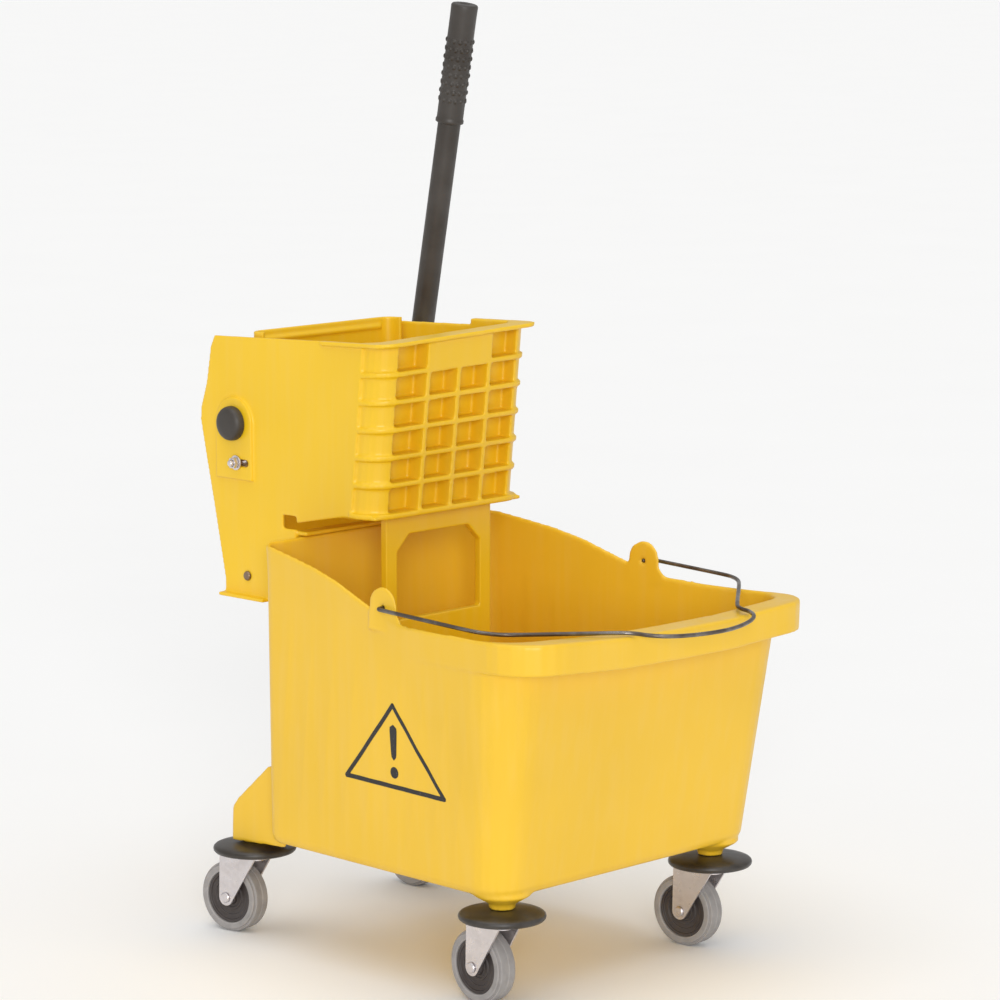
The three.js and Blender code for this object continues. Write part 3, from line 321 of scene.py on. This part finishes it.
def zinc_steel(name, colour):
    """Zinc-plated pressed steel: soft spangle and fine rolling lines."""
    material, tree, surface, place = blank_finish(name, colour, 0.34, 0.92)
    cells = {"Vector": place, "Scale": 210.0}
    spangle = add_node(tree, "ShaderNodeTexVoronoi", cells).outputs["Color"]
    shade = spread(tree, spangle, 0.0, 1.0, 0.0, 0.35)
    base = blend(tree, shade, colour, scaled(colour, 0.78))
    stained = spread(tree, clouds(tree, place, 55.0, 4.0), 0.55, 0.8, 0.0, 0.4)
    tree.links.new(blend(tree, stained, base, ZINC_STAIN), surface.inputs["Base Color"])
    vary_roughness(tree, surface, clouds(tree, place, 120.0, 4.0), 0.24, 0.42)
    add_bumps(tree, surface, [(clouds(tree, place, 1.0, 3.0, (1500, 1500, 120)), 0.12, 0.08 * MM)])
    return material


def drawn_metal(name, colour, roughness):
    """Drawn wire or turned pin with a dull oxide skin and brighter patches worn by rubbing."""
    material, tree, surface, place = blank_finish(name, colour, roughness, 0.85)
    patches = clouds(tree, place, 38.0, 5.0)
    base = blend(tree, spread(tree, patches, 0.45, 0.7, 0.0, 0.8), colour, lighter(colour, 0.22))
    tree.links.new(base, surface.inputs["Base Color"])
    vary_roughness(tree, surface, patches, roughness + 0.1, roughness - 0.06)
    add_bumps(tree, surface, [(clouds(tree, place, 900.0, 3.0), 0.15, 0.06 * MM)])
    return material


def bail_wire(name, colour):
    return drawn_metal(name, colour, 0.30)


def bronze_pin(name, colour):
    return drawn_metal(name, colour, 0.38)


def print_ink(name, colour):
    """Screen-printed ink with worn specks."""
    material, tree, surface, place = blank_finish(name, colour, 0.45)
    specks = spread(tree, clouds(tree, place, 420.0, 4.0), 0.62, 0.75, 0.0, 0.35)
    tree.links.new(blend(tree, specks, colour, lighter(colour, 0.25)), surface.inputs["Base Color"])
    add_bumps(tree, surface, [(clouds(tree, place, 1500.0, 2.0), 0.15, 0.05 * MM)])
    return material


FINISHES = {
    "yellow_plastic": yellow_plastic,
    "wringer_yellow": yellow_plastic,
    "dark_plastic": dark_plastic,
    "dark_hub": dark_plastic,
    "bumper_rubber": bumper_rubber,
    "grey_tread": grey_tread,
    "zinc_steel": zinc_steel,
    "bronze_pin": bronze_pin,
    "bail_wire": bail_wire,
    "print_ink": print_ink,
}


def finish_for(context, slot):
    """The finish's material, made once."""
    name = "finish_" + slot
    ready = bpy.data.materials.get(name)
    return ready or FINISHES[slot](name, tuple(getattr(context.scene.mop_bucket_colours, slot)))


# ---------- making pieces ----------

WELD = 0.01 * MM
SHARP = 38.0  # degrees between faces that make an edge worth rounding
TURNED_SHARP = 30.0
ROUND_SEGMENTS = 2
CAST_EASE = 0.5
UP = (0, 0, 1)


def slot_of(node):
    """The record's material slot of a frame node, which its imported material is named for."""
    named = frame["nodes"][node].data.materials[0].name
    found = [slot for slot in FRAME_SLOTS if named.startswith(slot)]
    if not found:
        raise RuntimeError(f"{node} has material {named}, which is no slot of the record")
    return found[0]


def body_of(node):
    return frame["nodes"][node]["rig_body"]


def middle(node):
    low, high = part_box(node)
    return (low + high) / 2


def welded(node):
    """The frame node's mesh with shared corners."""
    shape = bmesh.new()
    shape.from_mesh(frame["nodes"][node].data)
    bmesh.ops.remove_doubles(shape, verts=shape.verts, dist=WELD)
    return shape


def raw_piece(shape, name):
    """The shape as an object to put modifiers on; the shape is freed."""
    mesh = bpy.data.meshes.new(name)
    shape.to_mesh(mesh)
    shape.free()
    piece = bpy.data.objects.new(name + "_raw", mesh)
    bpy.context.scene.collection.objects.link(piece)
    return piece


def applied(piece):
    """The raw piece's mesh with its modifiers applied; the raw piece is removed."""
    mesh = piece.data
    evaluated = piece.evaluated_get(bpy.context.evaluated_depsgraph_get())
    finished = bpy.data.meshes.new_from_object(evaluated)
    bpy.data.objects.remove(piece)
    bpy.data.meshes.remove(mesh)
    return finished


def softened(shape, radius, name, sharp=SHARP, smooth=0):
    """Mesh of the shape with rounded edges and smooth shading."""
    piece = raw_piece(shape, name)
    mesh = piece.data
    mesh.shade_smooth()
    if radius:
        bevel = piece.modifiers.new("round", "BEVEL")
        bevel.width = radius
        bevel.segments = ROUND_SEGMENTS
        bevel.limit_method = "ANGLE"
        bevel.angle_limit = math.radians(sharp)
        # bevel faces get the second material, which marks them for the painted edge highlight
        bevel.material = 1
        mesh.materials.append(None)
        mesh.materials.append(None)
    if smooth:
        piece.modifiers.new("smooth", "SUBSURF").levels = smooth
    piece.modifiers.new("normals", "WEIGHTED_NORMAL").keep_sharp = True
    finished = applied(piece)
    mark_highlit_edges(finished)
    return finished


def cast_solid(node, cell, passes, keep):
    """The node's solid rebuilt on a fine grid, which gives every edge and corner a moulded radius."""
    piece = raw_piece(welded(node), node)
    grid = piece.modifiers.new("grid", "REMESH")
    grid.mode = "VOXEL"
    grid.voxel_size = cell
    grid.use_smooth_shade = True
    ease = piece.modifiers.new("ease", "SMOOTH")
    ease.factor = CAST_EASE
    ease.iterations = passes
    thin = piece.modifiers.new("thin", "DECIMATE")
    thin.ratio = keep
    finished = applied(piece)
    finished.shade_smooth()
    return finished


def mark_highlit_edges(mesh):
    """Notes the rounded edges, which come in with the second material, for the finishes to pale as a
    painted highlight.
    """
    rubbed = mesh.attributes.new("rubbed", "FLOAT", "FACE")
    for polygon in mesh.polygons:
        rubbed.data[polygon.index].value = polygon.material_index
        polygon.material_index = 0


def settle(context, mesh, name, *nodes, slot=None, body=None, finish=None):
    """Puts the mesh in the scene as a piece that stands for the nodes and moves with their body."""
    piece = bpy.data.objects.new(name, mesh)
    context.scene.collection.objects.link(piece)
    slot = slot or slot_of(nodes[0])
    mesh.materials.clear()
    mesh.materials.append(finish_for(context, finish or slot))
    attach(piece, body or body_of(nodes[0]))
    if nodes:
        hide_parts(*nodes)
    return piece


def rounded_node(context, node, radius, **options):
    mesh = softened(welded(node), radius, node, **options)
    return settle(context, mesh, node + "_made", node)


def turned(profile, centre, axis, segments=96):
    """Solid of revolution; profile is (radius, height), from axis to axis or closed on itself."""
    turn = Vector(axis).to_track_quat("Z", "Y")
    shape = bmesh.new()
    rings = []
    for radius, height in profile:
        count = segments if radius > 0 else 1
        rings.append([
            shape.verts.new(Vector(centre) + turn @ Vector((
                radius * math.cos(math.tau * k / segments),
                radius * math.sin(math.tau * k / segments),
                height,
            )))
            for k in range(count)
        ])
    if profile[0] == profile[-1]:
        for vert in rings.pop():
            shape.verts.remove(vert)
        rings.append(rings[0])
    for ring, after in zip(rings, rings[1:]):
        if len(ring) == len(after) == 1:
            continue
        for k in range(segments):
            corners = [ring[k % len(ring)], ring[(k + 1) % len(ring)],
                       after[(k + 1) % len(after)], after[k % len(after)]]
            shape.faces.new(list(dict.fromkeys(corners)))
    bmesh.ops.recalc_face_normals(shape, faces=shape.faces)
    return shape


def in_metres(profile):
    return [(radius * MM, height * MM) for radius, height in profile]


def mirrored(half):
    """Closed profile from its lower half, mirrored in height."""
    return half + [(radius, -height) for radius, height in reversed(half)] + half[:1]


# ---------- pieces ----------


class MOPBUCKET_OT_bucket(bpy.types.Operator):
    """Make the bucket moulding with softened rim, ears and caster arms."""

    bl_idname = "mopbucket.bucket"
    bl_label = "Bucket"

    PASSES = 4
    KEEP = 0.30

    def execute(self, context):
        mesh = cast_solid("bucket", context.scene.mop_bucket_sizes.bucket_cell, self.PASSES, self.KEEP)
        settle(context, mesh, "bucket_made", "bucket")
        return {"FINISHED"}


def triangle_ring(width, height, inset, radius, steps):
    """Rounded triangle standing on its base, counter-clockwise, moved in by inset."""
    slope = math.atan2(height, width / 2)
    corners = [(-width / 2, 0.0, slope), (width / 2, 0.0, slope), (0.0, height, math.pi - 2 * slope)]
    points = []
    for index, (u, v, opening) in enumerate(corners):
        here = Vector((u, v))
        before = (Vector(corners[index - 1][:2]) - here).normalized()
        after = (Vector(corners[(index + 1) % 3][:2]) - here).normalized()
        centre = here + (before + after).normalized() * (inset + radius) / math.sin(opening / 2)
        first = Vector((before.y, -before.x))
        if first.dot(after) > 0:
            first = -first
        last = Vector((after.y, -after.x))
        if last.dot(before) > 0:
            last = -last
        for step in range(steps + 1):
            share = step / steps
            points.append(centre + (first * (1 - share) + last * share).normalized() * radius)
    return points


class MOPBUCKET_OT_caution_mark(bpy.types.Operator):
    """Print a plain caution triangle on the bucket's side."""

    bl_idname = "mopbucket.caution_mark"
    bl_label = "Caution mark"

    CORNER_STEPS = 6
    OUTER_CORNER = 2.4 * MM
    INNER_CORNER = 0.6 * MM
    LINE_STEPS = 12
    SIGN_STEPS = 12
    BAR_FOOT, BAR_TIP = 0.33, 0.74  # shares of the mark's height
    BAR_TOP_HALF, BAR_FOOT_HALF = 6.2 * MM, 3.6 * MM
    BAR_BLUNT = 8  # the higher, the squarer the bar's ends
    DOT_UP = 0.19  # share of the mark's height
    DOT_RADIUS = 6.0 * MM
    JOIN = 0.02 * MM
    REACH = 0.05

    def execute(self, context):
        sizes = context.scene.mop_bucket_sizes
        wall = frame["nodes"]["bucket"].data
        faces = [face.vertices for face in wall.polygons]
        wall_tree = BVHTree.FromPolygons([vert.co for vert in wall.vertices], faces)
        shape = bmesh.new()
        for strip in (self.outline(sizes), self.bar(sizes), self.dot(sizes)):
            rows = [[self.on_wall(shape, wall_tree, point, sizes) for point in pair] for pair in strip]
            for low, high in zip(rows, rows[1:]):
                shape.faces.new([low[0], low[1], high[1], high[0]])
        bmesh.ops.remove_doubles(shape, verts=shape.verts, dist=self.JOIN)
        bmesh.ops.recalc_face_normals(shape, faces=shape.faces)
        made = bmesh.ops.extrude_face_region(shape, geom=list(shape.faces))
        for item in made["geom"]:
            if isinstance(item, bmesh.types.BMVert):
                item.co.x -= sizes.ink
        bmesh.ops.recalc_face_normals(shape, faces=shape.faces)
        mesh = softened(shape, 0, "caution_mark")
        settle(context, mesh, "caution_mark", slot="print_ink", body="bucket")
        return {"FINISHED"}

    def outline(self, sizes):
        """Pairs of outer and inner points round the triangle."""
        width, height = sizes.mark_width, sizes.mark_height
        outer = triangle_ring(width, height, 0, self.OUTER_CORNER, self.CORNER_STEPS)
        inner = triangle_ring(width, height, sizes.mark_line, self.INNER_CORNER, self.CORNER_STEPS)
        ring = [
            (a.lerp(next_a, k / self.LINE_STEPS), b.lerp(next_b, k / self.LINE_STEPS))
            for a, next_a, b, next_b in zip(outer, outer[1:] + outer[:1], inner, inner[1:] + inner[:1])
            for k in range(self.LINE_STEPS)
        ]
        return ring + ring[:1]

    def bar(self, sizes):
        """Pairs of left and right points up the exclamation mark's bar."""
        foot, tip = sizes.mark_height * self.BAR_FOOT, sizes.mark_height * self.BAR_TIP
        pairs = []
        for k in range(self.SIGN_STEPS + 1):
            share = k / self.SIGN_STEPS
            half = self.BAR_FOOT_HALF + (self.BAR_TOP_HALF - self.BAR_FOOT_HALF) * share
            half *= math.sqrt(max(0.0, 1 - (2 * share - 1) ** self.BAR_BLUNT))
            up = foot + (tip - foot) * share
            pairs.append((Vector((-half, up)), Vector((half, up))))
        return pairs

    def dot(self, sizes):
        """Pairs of left and right points up the exclamation mark's dot."""
        centre = sizes.mark_height * self.DOT_UP
        pairs = []
        for k in range(self.SIGN_STEPS + 1):
            turn = math.pi * k / self.SIGN_STEPS
            across, up = self.DOT_RADIUS * math.sin(turn), -self.DOT_RADIUS * math.cos(turn)
            pairs.append((Vector((-across, centre + up)), Vector((across, centre + up))))
        return pairs

    def on_wall(self, shape, wall_tree, point, sizes):
        """A corner of the shape where the point meets the bucket's side."""
        outside = CAD_BOX[0][0] - self.REACH
        start = Vector((outside, sizes.mark_along - point.x, sizes.mark_up + point.y))
        hit = wall_tree.ray_cast(start, Vector((1, 0, 0)))[0]
        if hit is None:
            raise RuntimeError("the caution mark misses the bucket's side")
        return shape.verts.new(hit)


class MOPBUCKET_OT_casters(bpy.types.Operator):
    """Make the stems, bumpers, forks, axles, hubs and tyres of the four casters."""

    bl_idname = "mopbucket.casters"
    bl_label = "Casters"

    HUB_ROUND = 0.25 * MM
    TYRE_ROUND = 0.2 * MM
    # profiles as (radius, height) in millimetres
    BUMPER = [
        (5.8, 0), (34, 0), (39.5, 0.5), (42.6, 1.5), (44.1, 3.2), (44.5, 5.0), (44.0, 6.8), (42.6, 8.2),
        (40.0, 9.3), (35.0, 10.4), (28.0, 11.3), (20.0, 12.0), (13.0, 12.4), (5.8, 12.5), (5.8, 0),
    ]
    TYRE = mirrored([
        (28.3, -10.4), (28.7, -11.5), (29.5, -12.0), (34.3, -12.0), (35.0, -11.4), (35.2, -9.6),
        (35.6, -9.0), (36.4, -9.0), (36.9, -9.6), (37.6, -9.2), (38.0, -8.0), (38.1, -6.5),
        (38.1, -0.9), (37.7, -0.4),
    ])
    HUB = mirrored([
        (4.5, -11.5), (8.0, -11.5), (8.8, -10.9), (9.5, -7.0), (11.8, -6.6), (12.3, -7.6), (14.6, -7.6),
        (15.2, -6.4), (19.6, -6.6), (20.3, -7.8), (23.0, -8.1), (24.6, -8.2), (25.6, -10.1),
        (27.5, -10.5), (28.0, -10.2),
    ])

    def execute(self, context):
        sizes = context.scene.mop_bucket_sizes
        axes = {joint["name"]: Vector(joint["axis"]) for joint in frame["joints"]}
        for corner in CORNERS:
            for kind in ("caster_stem_", "fork_", "axle_"):
                rounded_node(context, kind + corner, sizes.metal_round)
            foot = middle("bumper_" + corner)
            foot.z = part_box("bumper_" + corner)[0].z
            self.turn(context, "bumper_" + corner, self.BUMPER, foot, UP, 0)
            axis = axes["roll_" + corner]
            centre = middle("tyre_" + corner)
            self.turn(context, "hub_" + corner, self.HUB, centre, axis, self.HUB_ROUND)
            self.turn(context, "tyre_" + corner, self.TYRE, centre, axis, self.TYRE_ROUND)
        return {"FINISHED"}

    @staticmethod
    def turn(context, node, profile, centre, axis, radius):
        mesh = softened(turned(in_metres(profile), centre, axis), radius, node, sharp=TURNED_SHARP)
        settle(context, mesh, node + "_made", node)


class MOPBUCKET_OT_bail(bpy.types.Operator):
    """Make the bent wire bail."""

    bl_idname = "mopbucket.bail"
    bl_label = "Bail"

    SMOOTH_LEVELS = 2

    def execute(self, context):
        rounded_node(context, "bail", 0, smooth=self.SMOOTH_LEVELS)
        return {"FINISHED"}


class MOPBUCKET_OT_wringer(bpy.types.Operator):
    """Make the wringer's ribbed body and its press plate."""

    bl_idname = "mopbucket.wringer"
    bl_label = "Wringer"

    PASSES = 3
    KEEP = 0.35

    def execute(self, context):
        cell = context.scene.mop_bucket_sizes.cast_cell
        for node in ("wringer_body", "press_plate"):
            mesh = cast_solid(node, cell, self.PASSES, self.KEEP)
            settle(context, mesh, node + "_made", node, finish="wringer_yellow")
        return {"FINISHED"}


class MOPBUCKET_OT_fittings(bpy.types.Operator):
    """Make the shaft, cranks, pins and the stop bolts with their washers and nuts."""

    bl_idname = "mopbucket.fittings"
    bl_label = "Fittings"

    def execute(self, context):
        radius = context.scene.mop_bucket_sizes.metal_round
        for node in ("cross_shaft", "hinge_pin", "handle_bolt"):
            rounded_node(context, node, radius)
        for side in SIDES:
            for kind in ("crank_arm_", "crank_pin_", "stop_bolt_", "stop_washer_", "stop_nut_"):
                rounded_node(context, kind + side, radius)
        return {"FINISHED"}


class MOPBUCKET_OT_lever(bpy.types.Operator):
    """Make the lever: socket, tube, beaded grip and the cap on the shaft's far end."""

    bl_idname = "mopbucket.lever"
    bl_label = "Lever"

    # (radius, height) in millimetres
    CAP = [
        (0, 11.5), (6, 11.4), (11, 11.0), (14.2, 10.1), (16.4, 8.6), (17.7, 6.6), (18.4, 4.2), (18.5, 2.2),
        (18.5, 0), (7.8, 0), (7.8, 2.5), (0, 2.5),
    ]
    CAP_ROUND = 0.4 * MM
    GRIP_ROUND = 144
    GRIP_STEP = 0.6 * MM
    TUBE_GAP = 0.3 * MM
    # (out from the skin, up from the foot) in millimetres
    GRIP_FOOT = [(-0.4, 0), (0.9, 0.8), (0.9, 3.5), (0.2, 5)]
    # (out from the skin, up from the top) in millimetres
    GRIP_TOP = [(0.1, -8), (0.2, -2), (-0.9, -0.4), (-2.4, 0)]
    # (radius, up from the top) in millimetres
    GRIP_DISH = [(6, 0), (4.5, -0.8), (0, -0.8)]
    PLUG = 3.7 * MM
    SKIN_FOOT = 6 * MM
    SKIN_ENDS = 18 * MM  # length of the two ends that the skin leaves out
    FIRST_ROW = 26 * MM
    ROW_ENDS = 58 * MM  # length of the two ends without beads
    SKIN_DEPTH = 0.6 * MM
    BEAD_FULL = 0.98  # share of the bead's height that it reaches, to stay inside the frame's box

    def execute(self, context):
        sizes = context.scene.mop_bucket_sizes
        for node in ("handle_socket", "handle_tube"):
            rounded_node(context, node, sizes.moulded_round)
        centre = middle("shaft_cap")
        centre.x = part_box("shaft_cap")[1].x
        cap = turned(in_metres(self.CAP), centre, (-1, 0, 0))
        mesh = softened(cap, self.CAP_ROUND, "shaft_cap", sharp=TURNED_SHARP)
        settle(context, mesh, "shaft_cap_made", "shaft_cap")
        self.grip(context, sizes)
        return {"FINISHED"}

    def grip(self, context, sizes):
        lean = sizes.handle_lean
        up = Vector((0, -math.sin(lean), math.cos(lean)))
        low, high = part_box("handle_grip")
        radius = (high.x - low.x) / 2
        span = ((high.z - low.z) - 2 * radius * math.sin(lean)) / math.cos(lean)
        skin = radius - sizes.bead_height
        centre = middle("handle_grip")
        shape = turned(self.grip_profile(skin, span), centre, up, self.GRIP_ROUND)
        self.raise_beads(shape, sizes, centre, up, skin, span)
        mesh = softened(shape, 0, "handle_grip")
        settle(context, mesh, "handle_grip_made", "handle_grip")

    def grip_profile(self, skin, span):
        """Outline of the grip, whose bore fits the tube and stops at the plug."""
        low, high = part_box("handle_tube")
        bore = (high.x - low.x) / 2 + self.TUBE_GAP
        top, foot = span / 2, -span / 2
        plug = top - self.PLUG
        count = int((span - self.SKIN_ENDS) / self.GRIP_STEP)
        outline = [(bore, foot)]
        outline += [(skin + out * MM, foot + rise * MM) for out, rise in self.GRIP_FOOT]
        outline += [(skin, foot + self.SKIN_FOOT + k * self.GRIP_STEP) for k in range(count)]
        outline += [(skin + out * MM, top + rise * MM) for out, rise in self.GRIP_TOP]
        outline += [(across * MM, top + rise * MM) for across, rise in self.GRIP_DISH]
        return outline + [(0, plug), (bore, plug), (bore, foot)]

    def raise_beads(self, shape, sizes, centre, up, skin, span):
        """Lifts the skin into rows of round beads, every other row half a pitch round."""
        ahead = Vector((0, math.cos(sizes.handle_lean), math.sin(sizes.handle_lean)))
        first = self.FIRST_ROW - span / 2
        rows = int((span - self.ROW_ENDS) / sizes.bead_pitch) + 1
        pitch = math.tau / sizes.beads_round
        for vert in shape.verts:
            height = (vert.co - centre).dot(up)
            spoke = (vert.co - centre) - up * height
            row = round((height - first) / sizes.bead_pitch)
            if spoke.length < skin - self.SKIN_DEPTH or not 0 <= row < rows:
                continue
            shift = pitch / 2 if row % 2 else 0.0
            turns = (math.atan2(spoke.x, spoke.dot(ahead)) - shift) / pitch
            across = (turns - round(turns)) * pitch * skin
            along = height - first - row * sizes.bead_pitch
            off = math.hypot(across, along) / sizes.bead_radius
            if off < 1:
                rise = sizes.bead_height * math.sqrt(1 - off * off) * self.BEAD_FULL
                vert.co += spoke.normalized() * rise


# ---------- stage ----------


class MOPBUCKET_OT_stage(bpy.types.Operator):
    """Lay the pale floor, set the soft lights and place the camera."""

    bl_idname = "mopbucket.stage"
    bl_label = "Stage"

    FLOOR_HALF = 45.0
    FLOOR_PALE = (0.95, 0.95, 0.945)
    FLOOR_PALER = (0.97, 0.97, 0.965)
    FLOOR_ROUGHNESS = 0.85
    FLOOR_SHINE = 0.1
    FLOOR_CLOUDS = 3.0
    SENSOR = 36.0
    FARTHEST = 100.0

    def execute(self, context):
        stage = context.scene.mop_bucket_stage
        self.floor(context)
        self.room(context, stage)
        for name in ("key", "top"):
            self.soft_light(context, stage, name)
        self.camera(context, stage)
        return {"FINISHED"}

    def floor(self, context):
        half = self.FLOOR_HALF
        mesh = bpy.data.meshes.new("floor")
        corners = [(-half, -half, 0), (half, -half, 0), (half, half, 0), (-half, half, 0)]
        mesh.from_pydata(corners, [], [(0, 1, 2, 3)])
        floor = bpy.data.objects.new("floor", mesh)
        context.scene.collection.objects.link(floor)
        made = blank_finish("pale_floor", self.FLOOR_PALE, self.FLOOR_ROUGHNESS)
        material, tree, surface, place = made
        tint = blend(tree, clouds(tree, place, self.FLOOR_CLOUDS), self.FLOOR_PALE, self.FLOOR_PALER)
        tree.links.new(tint, surface.inputs["Base Color"])
        surface.inputs["Specular IOR Level"].default_value = self.FLOOR_SHINE
        mesh.materials.append(material)

    def room(self, context, stage):
        world = bpy.data.worlds.new("white_room")
        world.use_nodes = True
        sky = world.node_tree.nodes["Background"]
        sky.inputs["Color"].default_value = (1, 1, 1, 1)
        sky.inputs["Strength"].default_value = stage.sky
        context.scene.world = world
        context.scene.view_settings.view_transform = "Standard"

    def soft_light(self, context, stage, name):
        lamp = bpy.data.lights.new(name, "SUN")
        lamp.energy = getattr(stage, name)
        lamp.angle = getattr(stage, name + "_softness")
        made = bpy.data.objects.new(name, lamp)
        elevation = getattr(stage, name + "_elevation")
        made.rotation_euler = Euler((math.pi / 2 - elevation, 0, getattr(stage, name + "_azimuth")))
        context.scene.collection.objects.link(made)

    def camera(self, context, stage):
        lens = bpy.data.cameras.new("view")
        lens.lens = stage.lens
        lens.sensor_width = self.SENSOR
        lens.clip_end = self.FARTHEST
        made = bpy.data.objects.new("view", lens)
        made.location = stage.view_point
        made.rotation_euler = Euler((math.pi / 2 - stage.view_elevation, 0, stage.view_azimuth))
        context.scene.collection.objects.link(made)
        context.scene.camera = made


class MOPBUCKET_PT_pieces(bpy.types.Panel):
    """Lists the pieces and the sizes and colours they are made with."""

    bl_idname = "MOPBUCKET_PT_pieces"
    bl_label = "Mop bucket"
    bl_space_type = "VIEW_3D"
    bl_region_type = "UI"
    bl_category = "Mop bucket"

    def draw(self, context):
        for operator in OPERATORS:
            self.layout.operator(operator.bl_idname)
        for group in (context.scene.mop_bucket_sizes, context.scene.mop_bucket_colours,
                      context.scene.mop_bucket_stage):
            for name in group.__annotations__:
                self.layout.prop(group, name)


OPERATORS = (
    MOPBUCKET_OT_bucket,
    MOPBUCKET_OT_caution_mark,
    MOPBUCKET_OT_casters,
    MOPBUCKET_OT_bail,
    MOPBUCKET_OT_wringer,
    MOPBUCKET_OT_fittings,
    MOPBUCKET_OT_lever,
    MOPBUCKET_OT_stage,
)
CLASSES = (MopBucketSizes, MopBucketColours, MopBucketStage, *OPERATORS, MOPBUCKET_PT_pieces)


def register():
    for cls in CLASSES:
        bpy.utils.register_class(cls)
    bpy.types.Scene.mop_bucket_sizes = PointerProperty(type=MopBucketSizes)
    bpy.types.Scene.mop_bucket_colours = PointerProperty(type=MopBucketColours)
    bpy.types.Scene.mop_bucket_stage = PointerProperty(type=MopBucketStage)


def unregister():
    del bpy.types.Scene.mop_bucket_stage
    del bpy.types.Scene.mop_bucket_colours
    del bpy.types.Scene.mop_bucket_sizes
    for cls in reversed(CLASSES):
        bpy.utils.unregister_class(cls)


def main():
    register()
    bpy.ops.mopbucket.bucket()
    bpy.ops.mopbucket.caution_mark()
    bpy.ops.mopbucket.casters()
    bpy.ops.mopbucket.bail()
    bpy.ops.mopbucket.wringer()
    bpy.ops.mopbucket.fittings()
    bpy.ops.mopbucket.lever()
    bpy.ops.mopbucket.stage()


if __name__ == "__main__":
    main()
